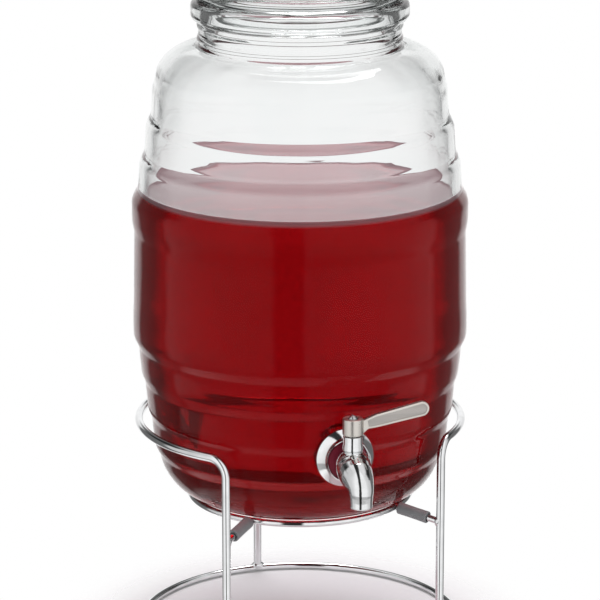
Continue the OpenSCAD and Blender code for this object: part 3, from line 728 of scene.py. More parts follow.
def moulded(name, tint, rough, grain, depth, clear=0.0):
    """A soft moulded or extruded material with a grain in millimetres and a slight mottle."""
    made, tree = blank(name)
    if not tree:
        return made
    mottle = speckle(tree, 6, 0.0, 1.0)
    skin = speckle(tree, grain, 0.0, 1.0, detail=3.0)
    bump = add_node(tree, "ShaderNodeBump", {"Height": skin, "Strength": 0.6, "Distance": depth * MM})
    spread = add_node(tree, "ShaderNodeMapRange",
                      {"Value": skin, "To Min": rough - 0.06, "To Max": rough + 0.06})
    face = add_node(tree, "ShaderNodeBsdfPrincipled", {
        "Base Color": shade(tree, mottle, darker(tint, 0.88), tint), "IOR": 1.45,
        "Roughness": spread.outputs[0], "Transmission Weight": clear, "Normal": bump.outputs[0]})
    add_node(tree, "ShaderNodeOutputMaterial", {"Surface": face.outputs[0]})
    return made


def vinyl():
    """Soft grey vinyl tube, extruded: matte, with a slight drag of the die."""
    return moulded("Soft vinyl, extruded", settings().finish.sleeve,
                   rough=0.55, grain=0.8, depth=0.02)


def silicone():
    """Milky silicone, moulded: half clear, with a satin skin."""
    return moulded("Silicone rubber, moulded milky", settings().finish.silicone,
                   rough=0.42, grain=1.0, depth=0.015, clear=0.35)


def burgundy_silicone():
    """Dark red silicone, moulded: matte. Its dark red is painted shade: it stands in for the shaded
    glass pad and drink seen inside the bright ring.
    """
    return moulded("Silicone rubber, moulded burgundy", settings().finish.burgundy,
                   rough=0.5, grain=0.8, depth=0.015)


def nitrile():
    """Black nitrile rubber, moulded and greased: dark, with a dull gloss."""
    return moulded("Nitrile rubber, moulded", settings().finish.nitrile,
                   rough=0.35, grain=0.7, depth=0.01)


def paper_floor(radius):
    """Matte white paper sweep, which runs out into the white of the studio."""
    made, tree = blank("White paper, matte")
    if not tree:
        return made
    # The paper is white; its faint pink tint is painted red light from the drink
    tint = settings().finish.floor
    fibre = speckle(tree, 4, 0.0, 1.0, detail=4.0)
    bump = add_node(tree, "ShaderNodeBump", {"Height": fibre, "Strength": 0.2, "Distance": 0.05 * MM})
    sheet = add_node(tree, "ShaderNodeBsdfPrincipled", {
        "Base Color": shade(tree, fibre, darker(tint, 0.985), tint), "Roughness": 0.9,
        "Specular IOR Level": 0.2, "Normal": bump.outputs[0]})
    place = add_node(tree, "ShaderNodeTexCoord").outputs["Object"]
    out = add_node(tree, "ShaderNodeVectorMath", {0: place}, operation="LENGTH")
    fade = add_node(tree, "ShaderNodeMapRange", {
        "Value": out.outputs["Value"], "From Min": 0.07 * radius, "From Max": 0.14 * radius,
        "To Min": 0.0, "To Max": 1.0}, interpolation_type="SMOOTHSTEP")
    none = add_node(tree, "ShaderNodeBsdfTransparent")
    mix = add_node(tree, "ShaderNodeMixShader",
                   {0: fade.outputs[0], 1: sheet.outputs[0], 2: none.outputs[0]})
    add_node(tree, "ShaderNodeOutputMaterial", {"Surface": mix.outputs[0]})
    return made


# Operators

class DISPENSER_OT_stage(bpy.types.Operator):
    """Camera, white studio, floor and lamp"""
    bl_idname = "dispenser.stage"
    bl_label = "Stage"

    def execute(self, context):
        stage = settings().stage
        scene = context.scene
        scene.view_settings.view_transform = "Standard"
        scene.cycles.max_bounces = 24
        scene.cycles.transmission_bounces = 24
        scene.cycles.glossy_bounces = 8
        # Lamps already shine straight through the glass, so light bent by it is not counted twice.
        scene.cycles.caustics_reflective = scene.cycles.caustics_refractive = False
        self.camera(scene, stage)
        self.studio(scene, stage)
        self.floor(stage)
        return {"FINISHED"}

    def camera(self, scene, stage):
        """Camera at the photograph's angle."""
        data = bpy.data.cameras.new("camera")
        data.lens, data.sensor_width = stage.lens, 36.0
        made = bpy.data.objects.new("camera", data)
        made.location = stage.camera_place
        towards = Vector((0, 0, stage.aim_z)) - made.location
        made.rotation_euler = towards.to_track_quat("-Z", "Y").to_euler()
        scene.collection.objects.link(made)
        scene.camera = made

    def studio(self, scene, stage):
        """White backdrop and front screens, with dark gaps between them and a dim roof."""
        world = bpy.data.worlds.new("White studio")
        world.use_nodes = True
        tree = world.node_tree
        tree.nodes.clear()
        heading = add_node(tree, "ShaderNodeTexCoord").outputs["Generated"]
        front = Vector((*stage.camera_place[:2], 0)).normalized()
        along, across, up = (
            add_node(tree, "ShaderNodeVectorMath", {0: heading, 1: axis},
                     operation="DOT_PRODUCT").outputs["Value"]
            for axis in (front, UP.cross(front), UP))
        turn = add_node(tree, "ShaderNodeMath", {0: across, 1: along}, operation="ARCTAN2").outputs[0]
        share = add_node(tree, "ShaderNodeMath", {0: turn, 1: 1 / math.pi}, operation="MULTIPLY")
        share = add_node(tree, "ShaderNodeMath", {0: share.outputs[0]}, operation="ABSOLUTE")
        round_room = add_node(tree, "ShaderNodeValToRGB", {0: share.outputs[0]})
        screen, backdrop = (math.degrees(a) for a in (stage.screen_end, stage.backdrop_end))
        blur = 3  # half of the angle in which an edge of a screen fades
        for degrees, level in ((50, 1.0), (78, 0.7), (screen - blur, 0.62),
                               (screen + blur, stage.side_dark), (backdrop - blur, stage.side_dark),
                               (backdrop + blur, 0.8), (168, 1.0)):
            round_room.color_ramp.elements.new(degrees / 180).color = darker(WHITE, level)
        round_room.color_ramp.elements[0].color = WHITE
        beside = add_node(tree, "ShaderNodeMath", {0: across, 1: math.sin(stage.gap_angle)},
                          operation="SUBTRACT")
        beside = add_node(tree, "ShaderNodeMath", {0: beside.outputs[0]}, operation="ABSOLUTE")
        half, edge = math.sin(stage.gap_half), 0.04
        zones = {}
        # Each zone goes from its first level to its second between two values of the heading.
        for name, value, start, end, low, high in (
                ("top", up, 0.3, 0.4, 1.0, stage.top_dark),
                ("front", along, -0.2, 0.0, 0.0, 1.0),
                ("roof", up, 0.6, 0.85, 0.0, stage.roof),
                ("floor", up, -0.47, -0.41, stage.floor_glow, 1.0),
                ("gap", beside.outputs[0], half - edge, half + edge, stage.gap_dark, 1.0),
                ("behind", along, -0.3, -0.1, 1.0, 0.0),
                ("ground", up, -0.74, -0.62, 1.0, 0.0)):
            zones[name] = add_node(tree, "ShaderNodeMapRange", {
                "Value": value, "From Min": start, "From Max": end, "To Min": low, "To Max": high},
                interpolation_type="SMOOTHSTEP").outputs[0]
        light = round_room.outputs[0]
        for first, second, operation in (("top", "front", "MULTIPLY"), ("roof", "roof", "MAXIMUM"),
                                         ("gap", "behind", "MULTIPLY"), ("floor", "behind", "MULTIPLY"),
                                         ("ground", "ground", "MAXIMUM")):
            part = add_node(tree, "ShaderNodeMath", {0: zones[first], 1: zones[second]},
                            operation="MAXIMUM").outputs[0]
            light = add_node(tree, "ShaderNodeMath", {0: light, 1: part}, operation=operation).outputs[0]
        path = add_node(tree, "ShaderNodeLightPath")
        seen = add_node(tree, "ShaderNodeMath", {0: light, 1: path.outputs["Is Camera Ray"]},
                        operation="MAXIMUM")
        sky = add_node(tree, "ShaderNodeBackground", {"Color": WHITE, "Strength": seen.outputs[0]})
        add_node(tree, "ShaderNodeOutputWorld", {"Surface": sky.outputs[0]})
        scene.world = world
        lamp = bpy.data.lights.new("overhead_lamp", "AREA")
        lamp.shape, lamp.size, lamp.energy = "DISK", stage.lamp_size, stage.lamp_power
        made = bpy.data.objects.new("overhead_lamp", lamp)
        made.location = stage.lamp_place
        made.rotation_euler = (-made.location).to_track_quat("-Z", "Y").to_euler()
        made.visible_camera = False
        scene.collection.objects.link(made)

    def floor(self, stage):
        """Round sheet of white paper."""
        mesh = bmesh.new()
        bmesh.ops.create_circle(mesh, cap_ends=True, segments=96, radius=stage.floor_r)
        made = new_object("floor", mesh)
        made.data.materials.append(paper_floor(stage.floor_r))


def stand_lines(stand):
    """Radius and height of the rail, radius of the legs, radius and height of the seat ring."""
    proud = stand.rail_wire / 2 + stand.bead_rise
    rail_r, rail_z = corner("rail_wire_frame", 1, 1) - proud, corner("rail_wire_frame", 1, 2) - proud
    seat_r, seat_z = corner("seat_ring", 1, 0) - stand.seat_wire / 2, middle("seat_ring", 2)
    return rail_r, rail_z, math.hypot(rail_r, stand.leg_bend), seat_r, seat_z


def struts(stand):
    """Name of each strut and its angle from the tap."""
    return ("left", -stand.leg_angle), ("right", stand.leg_angle), ("rear", math.pi)


class DISPENSER_OT_wire_stand(bpy.types.Operator):
    """Base ring, rail with its legs, seat ring and struts, all of plated wire"""
    bl_idname = "dispenser.wire_stand"
    bl_label = "Wire stand"

    def execute(self, context):
        stand = settings().stand
        rail_r, rail_z, leg_r, seat_r, seat_z = stand_lines(stand)
        base_z = corner("base_ring", 1, 2) - stand.base_wire / 2
        base = sweep(ring_path(leg_r, base_z, stand.base_wire, stand.bead_rise, 60), closed=True)
        for vert in base.verts:
            vert.co.z = max(vert.co.z, 0.0)
        seat = sweep(ring_path(seat_r, seat_z, stand.seat_wire, stand.bead_rise / 2, 120), closed=True)
        rail = sweep(self.rail_path(stand, rail_r, rail_z, base_z))
        rear = sweep([((0, leg_r, z), stand.rail_wire / 2) for z in np.linspace(base_z, rail_z, 30)])
        wires = [("wire_base_ring", base, ["base_ring"]), ("wire_seat_ring", seat, ["seat_ring"]),
                 ("wire_rail", rail, ["rail_wire_frame"]), ("wire_rear_leg", rear, ["rear_leg"])]
        welds = bmesh.new()
        for name, turn in struts(stand):
            out = Vector((math.sin(turn), -math.cos(turn), 0))
            along = Vector((-out.y, out.x, 0))
            inner = seat_r * out + seat_z * UP
            outer = leg_r * out + (seat_z - stand.strut_drop) * UP
            strut = sweep([(inner.lerp(outer, t), stand.strut_wire / 2) for t in np.linspace(0, 1, 12)])
            wires.append((f"wire_strut_{name}", strut, [f"{name}_strut"]))
            for kind, place in (("seat", inner), ("leg", outer), ("foot", leg_r * out + base_z * UP)):
                self.bead(welds, kind, place, out, along)
        self.bead(welds, "rail", Vector((0, leg_r, rail_z)), Vector((0, 1, 0)), Vector((1, 0, 0)))
        wires.append(("stand_welds", welds, []))
        for name, mesh, nodes in wires:
            finish(new_object(name, mesh), "stand", plated_wire(), "chrome_wire", nodes)
        return {"FINISHED"}

    def rail_path(self, stand, rail_r, rail_z, base_z):
        """Stations up one front leg, round the bend, round the back and down the other leg."""
        end = stand.leg_angle + math.atan(stand.leg_bend / rail_r)
        turn = Matrix.Rotation(end - math.pi / 2, 4, "Z")
        bend_z = rail_z - stand.leg_bend
        half = [turn @ Vector((rail_r, -stand.leg_bend, z)) for z in np.linspace(base_z, bend_z, 24)]
        half += [turn @ Vector((rail_r, -y, bend_z + z))
                 for y, z in arc(0, 0, stand.leg_bend, stand.leg_bend, 0, 90, 16)[1:]]
        half += [Vector((rail_r * math.sin(a), -rail_r * math.cos(a), rail_z))
                 for a in np.linspace(end, math.pi, 90)[1:]]
        path = half + [Vector((-p.x, p.y, p.z)) for p in reversed(half[:-1])]
        weld = half[-1]
        return [(p, stand.rail_wire / 2
                 + stand.bead_rise * math.exp(-((p - weld).length / (stand.rail_wire / 2)) ** 2))
                for p in path]

    def bead(self, mesh, kind, place, out, along):
        """Adds a lumpy bead of weld at a place, with its axes outwards, along the wire and upwards."""
        shift, lift, half_axes = BEADS[kind]
        centre = place + MM * (shift * out + lift * UP)
        made = bmesh.ops.create_icosphere(mesh, subdivisions=3, radius=1.0)
        for vert in made["verts"]:
            lump = 1 + 0.06 * noise.noise(vert.co * 2.2 + centre * 300)
            x, y, z = (half * MM * c * lump for half, c in zip(half_axes, vert.co))
            vert.co = centre + x * out + y * along + z * UP


class DISPENSER_OT_sleeves(bpy.types.Operator):
    """Soft vinyl sleeves on the struts"""
    bl_idname = "dispenser.sleeves"
    bl_label = "Sleeves"

    def execute(self, context):
        stand = settings().stand
        _, _, leg_r, seat_r, seat_z = stand_lines(stand)
        fall = math.atan(stand.strut_drop / (leg_r - seat_r))
        start = stand.seat_wire / 2 + SLACK + stand.strut_wire * math.tan(fall)
        outer, bore, end = stand.sleeve_d / 2, stand.sleeve_bore, start + stand.sleeve_l
        edge, inner_edge = stand.sleeve_edge, stand.sleeve_edge / 2
        section = [(bore, start + inner_edge), (bore, end - inner_edge)]
        section += arc(bore + inner_edge, end - inner_edge, inner_edge, inner_edge, 180, 90, 4)
        section += arc(outer - edge, end - edge, edge, edge, 90, 0, 6)
        section += [(outer - stand.sleeve_waist * math.sin(math.pi * t),
                     end - edge + (start - end + 2 * edge) * t) for t in np.linspace(0, 1, 12)[1:-1]]
        section += arc(outer - edge, start + edge, edge, edge, 0, -90, 6)
        section += arc(bore + inner_edge, start + inner_edge, inner_edge, inner_edge, 270, 180, 4)[:-1]
        for name, turn in struts(stand):
            place = (Matrix.Rotation(turn - math.pi / 2, 4, "Z")
                     @ Matrix.Translation((seat_r, 0, seat_z))
                     @ Matrix.Rotation(math.pi / 2 + fall, 4, "Y"))
            mesh, _ = lathe(section, turned_angles(coarse=10), place, closed=True)
            finish(new_object(f"sleeve_{name}", mesh), "stand", vinyl(), "vinyl_sleeve",
                   [f"{name}_sleeve"])
        return {"FINISHED"}


def press_pad(rings, axis_z, face_y, radius, blend):
    """Flattens the wall round the tap's axis to a pad at face_y that runs out into the wall."""
    for ring in rings:
        for vert in ring:
            off = math.hypot(vert.co.x, vert.co.z - axis_z)
            if vert.co.y < 0 and off < radius + blend:
                t = min(1.0, (radius + blend - off) / blend)
                vert.co.y += (face_y - vert.co.y) * t * t * (3 - 2 * t)


class DISPENSER_OT_glass_jar(bpy.types.Operator):
    """Pressed glass jar with its pad and hole for the tap"""
    bl_idname = "dispenser.glass_jar"
    bl_label = "Glass jar"

    def execute(self, context):
        jar = settings().jar
        axis_z = middle("outer_gasket", 2)
        fine_steps = (axis_z, jar.seat_r + jar.seat_blend, 0.95 * MM)
        neck = jar_levels(jar)[2] + 0.8 * jar.shoulder_h
        points = jar_outside(jar)
        split = next(i for i, (_, z) in enumerate(points) if z > neck)
        outside = thin(np.concatenate([soften(points[:split + 1], jar.tier_soft),
                                       soften(points[split:], jar.edge_soft)[1:]]), *fine_steps)
        inside = thin(jar_inside(jar), *fine_steps)
        mesh, rings = lathe(outside + inside[::-1], turned_angles(0.6, 17))
        press_pad(rings[:len(outside)], axis_z, corner("outer_gasket", 1, 1), jar.pad_r, jar.pad_blend)
        press_pad(rings[len(outside):], axis_z, corner("inner_gasket", 0, 1), jar.seat_r,
                  jar.seat_blend)
        made = new_object("jar_body", mesh)
        drill = Matrix.Translation((0, 0, axis_z)) @ Matrix.Rotation(math.pi / 2, 4, "X")
        inner, outer = 0.7 * jar.belly_r, 1.2 * jar.belly_r
        hole, _ = lathe([(0, inner), (jar.hole_r, inner), (jar.hole_r, outer), (0, outer)],
                        turned_angles(coarse=5), drill)
        cut(made, hole)
        finish(made, "jar", pressed_glass(), "jar_glass", ["glass_jar"])
        return {"FINISHED"}


class DISPENSER_OT_drink(bpy.types.Operator):
    """Red drink that fills the jar to its level"""
    bl_idname = "dispenser.drink"
    bl_label = "Drink"

    def execute(self, context):
        jar, drink = settings().jar, settings().drink
        axis_z = middle("outer_gasket", 2)
        wall = np.array(jar_inside(jar))
        top = drink.level + drink.meniscus
        climbing = [(r, z) for r, z in wall if z < top]
        wall_r = climbing[-1][0]
        below = thin(np.array(climbing), near=axis_z, reach=25 * MM, fine=1.2 * MM)
        skin = [(0, below[0][1] - drink.soak)]
        for (r0, z0), (r1, z1) in pairwise(below):
            run = math.hypot(r1 - r0, z1 - z0)
            skin.append((r1 + drink.soak * (z1 - z0) / run, z1 - drink.soak * (r1 - r0) / run))
        skin += [(wall_r - off * MM, drink.level + drink.meniscus * math.exp(-off * MM / drink.climb_w))
                 for off in (0.15, 0.5, 1.0, 1.7, 2.6, 4.0, 6.0, 9.0, 14.0)]
        skin += [(share * wall_r, drink.level) for share in (0.7, 0.4, 0.1)] + [(0, drink.level)]
        mesh, rings = lathe(skin, turned_angles(1.0, 17, 2.5))
        press_pad(rings[:len(below)], axis_z, corner("inner_gasket", 0, 1) - drink.soak, jar.seat_r,
                  jar.seat_blend)
        finish(new_object("jar_drink", mesh), "jar", fruit_drink(), sharp=60)
        return {"FINISHED"}


class DISPENSER_OT_lid(bpy.types.Operator):
    """Pressed glass lid with its knob, and the soft seal round its collar"""
    bl_idname = "dispenser.lid"
    bl_label = "Lid"

    def execute(self, context):
        lid = settings().lid
        low, top = corner("glass_lid", 0, 2), corner("glass_lid", 1, 2)
        knob_z = top - lid.knob_r
        dome_top = knob_z - math.sqrt(lid.knob_r ** 2 - lid.knob_neck_r ** 2) - lid.knob_neck_h
        dome_z = dome_top - lid.dome_h
        lid_z = dome_z - lid.flange_t
        inner_r = lid.collar_r - lid.lid_wall
        flat = 0.4 * MM  # left between the two roundings of the flange
        edge = (lid.flange_t - flat) / 2
        outline = arc(0, lid_z, inner_r, lid.flange_t + lid.dome_h - lid.lid_wall, 90, 0, 40)
        outline += [(inner_r, low), (lid.collar_r, low), (lid.collar_r, lid_z)]
        outline += arc(lid.lid_r - edge, lid_z + edge, edge, edge, -90, 0)
        outline += arc(lid.lid_r - edge, dome_z - edge, edge, edge, 0, 90)
        outline += arc(lid.knob_neck_r, dome_z, lid.lid_r - lid.flange_land - lid.knob_neck_r,
                       lid.dome_h, 0, 90, 40)
        meet = math.degrees(math.acos(lid.knob_neck_r / lid.knob_r))
        outline += arc(0, knob_z, lid.knob_r, lid.knob_r, -meet, 90, 40)
        mesh, _ = lathe(thin(soften(outline, lid.edge_soft)), turned_angles(coarse=2))
        finish(new_object("lid_body", mesh), "lid", pressed_glass(), "lid_glass", ["glass_lid"])

        seal_low, seal_high = corner("lid_seal", 0, 2), corner("lid_seal", 1, 2)
        seal_r, bore, bevel = corner("lid_seal", 1, 0), lid.collar_r + SLACK, lid.seal_edge
        rib_r, end_r = seal_r - 0.1 * MM, seal_r - 0.7 * MM
        section = [(bore, seal_high - bevel), (bore, seal_low + bevel), (bore + bevel, seal_low),
                   (end_r, seal_low)]
        section += [(rib_r - lid.rib_depth * (0.5 - 0.5 * math.cos(2 * math.pi * lid.rib_count * t)),
                     seal_low + (seal_high - seal_low) * t) for t in np.linspace(0.04, 0.96, 31)]
        section += [(end_r, seal_high), (bore + bevel, seal_high)]
        mesh, _ = lathe(section, turned_angles(coarse=2.5), closed=True)
        finish(new_object("lid_seal_ring", mesh), "lid", silicone(), "silicone", ["lid_seal"])
        return {"FINISHED"}


def tap_place():
    """Place on the pad's face with +Z pointing out of the jar."""
    return (Matrix.Translation((0, corner("outer_gasket", 1, 1), middle("outer_gasket", 2)))
            @ Matrix.Rotation(math.pi / 2, 4, "X"))


class DISPENSER_OT_tap_body(bpy.types.Operator):
    """Cast tap: collar, valve chamber, upright neck and spout, and the threaded shank"""
    bl_idname = "dispenser.tap_body"
    bl_label = "Tap body"

    def execute(self, context):
        tap = settings().tap
        axis_z = middle("outer_gasket", 2)
        valve_y = middle("stem_gland", 1)
        pad_y = corner("outer_gasket", 1, 1)
        collar = corner("escutcheon", 1, 1) - corner("recess_ring", 1, 1) - SLACK - tap.clamp_t
        out = pad_y - valve_y
        round_turn = turned_angles(coarse=5)

        mesh, _ = lathe(soften([(0, collar), (tap.clamp_r, collar), (tap.clamp_r, collar + tap.clamp_t),
                                (tap.root_r, collar + tap.clamp_t), (tap.root_r, out), (0, out)],
                               sigma=0.2 * MM, step=0.3 * MM), round_turn, tap_place())
        crease_r = tap.tower_r - 0.2 * MM
        meet = math.degrees(math.acos(crease_r / tap.chamber_r))
        upright = arc(0, 0, tap.chamber_r, tap.chamber_r, -90, meet, 40)
        foot = upright[-1][1]
        upright += [(tap.tower_r + off * MM, foot + rise * MM) for off, rise in NECK_BEAD]
        upright += [(tap.tower_r, tap.tower_h), (0, tap.tower_h)]
        lathe(soften(upright, sigma=0.25 * MM, step=0.2 * MM), round_turn,
              Matrix.Translation((0, valve_y, axis_z)), mesh=mesh)
        sweep(self.horn(tap, valve_y, axis_z), 48, mesh=mesh)
        made = new_object("tap_casting", mesh)
        cast(made, tap.casting_cell, 6)

        nozzle = (0, valve_y - tap.spout_reach, axis_z - tap.spout_bend - tap.nozzle_h)
        bevel = 1.2 * MM
        bore = [(0, -MM), (tap.outlet_r, -MM), (tap.outlet_r, tap.nozzle_h),
                (tap.outlet_r - bevel, tap.nozzle_h + bevel), (0, tap.nozzle_h + bevel)]
        tool, _ = lathe(bore, round_turn, Matrix.Translation(nozzle))
        gland_r, gland_z = corner("stem_gland", 1, 0) + FIT, corner("stem_gland", 0, 2) - FIT
        plug_r, plug_z = corner("valve_plug", 1, 0) + FIT, corner("valve_plug", 0, 2) - FIT
        above = axis_z + tap.tower_h + 3 * MM
        lathe([(0, plug_z), (plug_r, plug_z), (plug_r, gland_z), (gland_r, gland_z), (gland_r, above),
               (0, above)], round_turn, Matrix.Translation((0, valve_y, 0)), mesh=tool)
        cut(made, tool)
        finish(made, "jar", plated_casting(), "tap_chrome", ["tap_body"])
        self.shank(tap, collar)
        return {"FINISHED"}

    def horn(self, tap, valve_y, axis_z):
        """Stations along the spout from the valve's axis to the outlet, which is slightly rounded."""
        slope, leave, arrive = math.radians(36), 9 * MM, 0.35 * tap.spout_bend
        knots = [Vector((0, 0)), leave * Vector((math.cos(slope), -math.sin(slope))),
                 Vector((tap.spout_reach, -arrive)), Vector((tap.spout_reach, -tap.spout_bend))]
        path = [(valve_y - p.x, axis_z + p.y)
                for p in interpolate_bezier(*knots, 26)]
        end_y, end_z = valve_y - tap.spout_reach, axis_z - tap.spout_bend
        path += [(end_y, end_z - tap.nozzle_h * t) for t in np.linspace(0, 1, 14)[1:]]
        run = np.concatenate([[0], np.cumsum([math.dist(a, b) for a, b in pairwise(path)])]) / MM
        # Millimetres along the path, and the share of the horn's radius over the nozzle's there
        marks = np.array([0, 6, 11, 16, 20, 25, 29, run[-1] - 1.2, run[-1] - 0.4, run[-1]])
        shares = np.array([1.05, 1.05, 0.92, 0.6, 0.3, 0.1, 0.02, 0.0, 0.03, -0.04])
        radii = tap.spout_r + (tap.horn_r - tap.spout_r) * np.interp(run, marks, shares)
        return [((0, y, z), float(radius)) for (y, z), radius in zip(path, radii)]

    def shank(self, tap, collar):
        """Threaded shank with its passage, from the collar into the jar."""
        inner = corner("outer_gasket", 1, 1) - corner("tap_body", 1, 1)
        teeth = int((collar - inner) / tap.thread_pitch)
        pitch = (collar - inner) / teeth
        crest, root = tap.shank_r, tap.shank_r - tap.thread_depth
        tooth = ((root, 0.05), (crest, 0.42), (crest, 0.58))  # radius and share of the pitch
        thread = [(r, inner + (k + share) * pitch) for k in range(teeth) for r, share in tooth]
        section = [(tap.passage_r, collar), (tap.passage_r, inner)] + thread + [(tap.shank_r, collar)]
        mesh, _ = lathe(section, turned_angles(coarse=6), tap_place(), closed=True)
        finish(new_object("tap_shank", mesh), "jar", plated_casting(), "tap_chrome")


class DISPENSER_OT_tap_rings(bpy.types.Operator):
    """Conical cover ring round the tap's root, and the dark ring in its recess"""
    bl_idname = "dispenser.tap_rings"
    bl_label = "Tap rings"

    def execute(self, context):
        tap = settings().tap
        pad_y = corner("outer_gasket", 1, 1)
        back, front = pad_y - corner("escutcheon", 1, 1), pad_y - corner("escutcheon", 0, 1)
        gasket_t = pad_y - corner("outer_gasket", 0, 1)
        collar = pad_y - corner("recess_ring", 1, 1) - tap.clamp_t
        skirt, hole = corner("outer_gasket", 1, 0) + SLACK, tap.shank_r + SLACK
        well = tap.clamp_r + SLACK
        section = [(hole, collar), (hole, gasket_t), (skirt, gasket_t), (skirt, back)]
        for r, z, marks in ((tap.ring_r, back, RING_RIM), (well, back, RING_CONE),
                            (well, front, RING_LIP)):
            section += [(r + off * MM, z + rise * MM) for off, rise in marks]
        section += [(well, collar)]
        mesh, _ = lathe(section, turned_angles(coarse=4), tap_place(), closed=True)
        finish(new_object("tap_cover_ring", mesh), "jar", plated_casting(), "tap_chrome",
               ["escutcheon"])

        low, high = pad_y - corner("recess_ring", 1, 1), pad_y - corner("recess_ring", 0, 1)
        inner, outer, bevel = tap.root_r + SLACK, corner("recess_ring", 1, 0), 0.3 * MM
        section = [(inner, low), (outer, low), (outer, high - bevel), (outer - bevel, high),
                   ((inner + outer) / 2, high - bevel / 2), (inner + bevel, high), (inner, high - bevel)]
        mesh, _ = lathe(section, turned_angles(coarse=5), tap_place(), closed=True)
        finish(new_object("tap_recess_ring", mesh), "jar", burgundy_silicone(), "burgundy_silicone",
               ["recess_ring"])
        return {"FINISHED"}


class DISPENSER_OT_lever(bpy.types.Operator):
    """Cast lever with its hub and sunk panels, and its slotted screw"""
    bl_idname = "dispenser.lever"
    bl_label = "Lever"

    def execute(self, context):
        lever = settings().lever
        valve_y = middle("stem_gland", 1)
        low, high = corner("lever_handle", 0, 2), corner("lever_washer", 1, 2)
        hub = Matrix.Translation((0, valve_y, 0))
        cup_r, cup_z = corner("lever_washer", 1, 0) + SLACK, corner("lever_washer", 0, 2)
        bore, edge = lever.screw_r + FIT, lever.hub_edge
        socket_r, socket_z = lever.socket_r, low + lever.socket_h
        section = [(socket_r, low), (lever.hub_r - edge, low)]
        section += arc(lever.hub_r - edge, low + edge, edge, edge, -90, 0, 6)
        section += arc(lever.hub_r - edge, high - edge, edge, edge, 0, 90, 6)
        section += [(cup_r, high), (cup_r, cup_z), (bore, cup_z), (bore, socket_z), (socket_r, socket_z)]
        mesh, _ = lathe(section, turned_angles(coarse=6), hub, closed=True)
        tilt = (Matrix.Translation((0, valve_y, (low + high) / 2))
                @ Matrix.Rotation(-lever.rise, 4, "Y") @ Matrix.Rotation(math.pi / 2, 4, "X"))
        rim = lever.blade_t / 2
        self.slab(mesh, self.blade(lever, 0.0), tilt, -rim, rim)
        made = new_object("lever_arm", mesh)
        cast(made, lever.cast_cell, 4)
        panels = bmesh.new()
        for side in (-1, 1):
            self.slab(panels, self.blade(lever, lever.panel_rim), tilt, side * (rim - lever.panel_d),
                      side * (rim + MM), draft=0.35 * MM)
        cut(made, panels)
        wear(made, 2)
        finish(made, "lever", satin_nickel(valve_y, rim - lever.panel_d, rim), "lever_metal",
               ["lever_handle"], sharp=50)
        self.screw(lever, hub)
        return {"FINISHED"}

    def blade(self, lever, margin):
        """Outline of the blade along +X less a margin, from the hub or, with a margin, past the root."""
        tip_r = lever.tip_w / 2
        tip_x = lever.lever_l - tip_r
        in_hub = 4.6 * MM
        start = lever.root_l if margin else in_hub
        root, wide = lever.root_w / 2, 0.88 * tip_r
        reach = lever.root_l + 6 * MM
        # Distance from the valve's axis and height over or under the blade's middle
        above = ((in_hub, 0.5 * root), (7 * MM, 0.7 * root), (reach, wide), (tip_x, tip_r))
        below = ((in_hub, 1.75 * root), (6.5 * MM, 1.5 * root), (8.5 * MM, 1.15 * root),
                 (lever.root_l, 1.05 * root), (reach, wide), (tip_x, tip_r))
        upper, lower = ([(x, float(np.interp(x, *zip(*marks))) - margin)
                         for x in np.linspace(start, tip_x, 40, endpoint=False)]
                        for marks in (above, below))
        tip = arc(tip_x, 0, tip_r - margin, tip_r - margin, 90, -90, 28)
        return upper + tip + [(x, -y) for x, y in reversed(lower)]

    def slab(self, mesh, outline, place, low, high, draft=0.0):
        """Adds a slab between two heights whose side at low is drawn in by a draft."""
        middle_x = sum(x for x, _ in outline) / len(outline)
        rings = []
        for height, inset in ((low, draft), (high, 0.0)):
            ring = []
            for x, y in outline:
                pull = Vector((x - middle_x, y * 4, 0)).normalized() * inset
                ring.append(mesh.verts.new(place @ Vector((x - pull.x, y - pull.y, height))))
            rings.append(ring)
        join_rings(mesh, rings, capped=True)

    def screw(self, lever, hub):
        """Slotted screw with a domed head."""
        low, high = corner("lever_screw", 0, 2), corner("lever_screw", 1, 2)
        under = high - lever.head_h
        dome = (lever.head_r ** 2 + lever.head_h ** 2) / 2 / lever.head_h
        start = math.degrees(math.asin((dome - lever.head_h) / dome))
        bevel, edge = 0.4 * MM, 0.15 * MM
        outline = [(0, low), (lever.screw_r - bevel, low), (lever.screw_r, low + bevel),
                   (lever.screw_r, under), (lever.head_r - edge, under)]
        outline += arc(0, high - dome, dome, dome, start + 3, 90, 14)
        mesh, _ = lathe(outline, turned_angles(coarse=7.5), hub)
        made = new_object("lever_screw_head", mesh)
        slot = bmesh.new()
        bmesh.ops.create_cube(slot, size=1.0)
        size = Vector((4 * lever.head_r, lever.slot_w, 2 * lever.slot_d))
        for vert in slot.verts:
            vert.co = hub @ (vert.co * size + Vector((0, 0, high)))
        cut(made, slot)
        finish(made, "lever", turned_steel(), "screw_steel", ["lever_screw"])


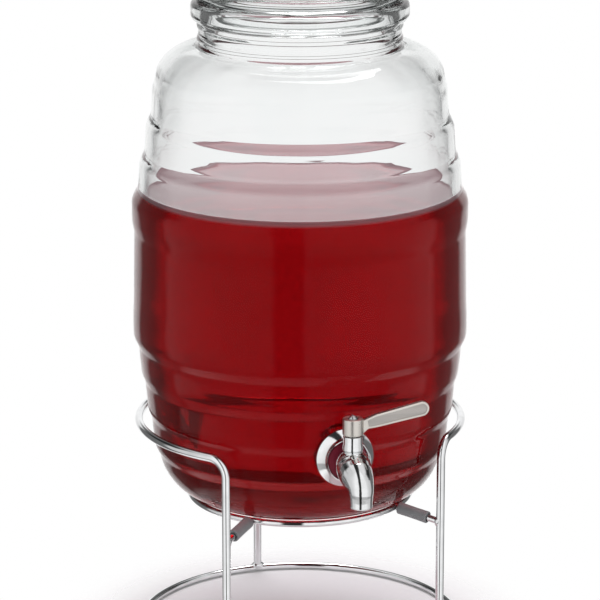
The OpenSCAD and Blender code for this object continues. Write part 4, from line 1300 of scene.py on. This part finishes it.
class DISPENSER_OT_fittings(bpy.types.Operator):
    """Finishes of the gaskets, washers, nut, gland, plug and O-rings"""
    bl_idname = "dispenser.fittings"
    bl_label = "Fittings"

    def execute(self, context):
        for names, material in (
                (("outer_gasket", "inner_gasket"), silicone()),
                (("upper_o_ring", "lower_o_ring"), nitrile()),
                (("backing_washer", "lock_nut", "stem_gland", "valve_plug", "lever_washer"),
                 turned_steel())):
            for name in names:
                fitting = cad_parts[name]
                fitting.data.materials.clear()
                fitting.data.materials.append(material)
        return {"FINISHED"}


class DISPENSER_PT_parts(bpy.types.Panel):
    """Lists the pieces and their sizes"""
    bl_idname = "DISPENSER_PT_parts"
    bl_label = "Beverage dispenser"
    bl_space_type = "VIEW_3D"
    bl_region_type = "UI"
    bl_category = "Dispenser"

    def draw(self, context):
        for operator in OPERATORS:
            self.layout.operator(operator.bl_idname)
        for key in DispenserSettings.__annotations__:
            group = getattr(settings(), key)
            box = self.layout.box()
            box.label(text=key.capitalize())
            for size in type(group).__annotations__:
                box.prop(group, size)


GROUPS = (JarSizes, LidSizes, TapSizes, LeverSizes, StandSizes, DrinkSizes, Finishes, StageSetup,
          DispenserSettings)
OPERATORS = (DISPENSER_OT_stage, DISPENSER_OT_wire_stand, DISPENSER_OT_sleeves,
             DISPENSER_OT_glass_jar, DISPENSER_OT_drink, DISPENSER_OT_lid, DISPENSER_OT_tap_body,
             DISPENSER_OT_tap_rings, DISPENSER_OT_lever, DISPENSER_OT_fittings)


def register():
    """Registers the settings, operators and panel."""
    for group in GROUPS + OPERATORS + (DISPENSER_PT_parts,):
        bpy.utils.register_class(group)
    bpy.types.Scene.dispenser = PointerProperty(type=DispenserSettings)


def unregister():
    """Takes the settings, operators and panel away again."""
    del bpy.types.Scene.dispenser
    for group in reversed(GROUPS + OPERATORS + (DISPENSER_PT_parts,)):
        bpy.utils.unregister_class(group)


def main():
    """Builds every piece."""
    register()
    for operator in OPERATORS:
        getattr(bpy.ops.dispenser, operator.bl_idname.split(".")[1])()


if __name__ == "__main__":
    main()
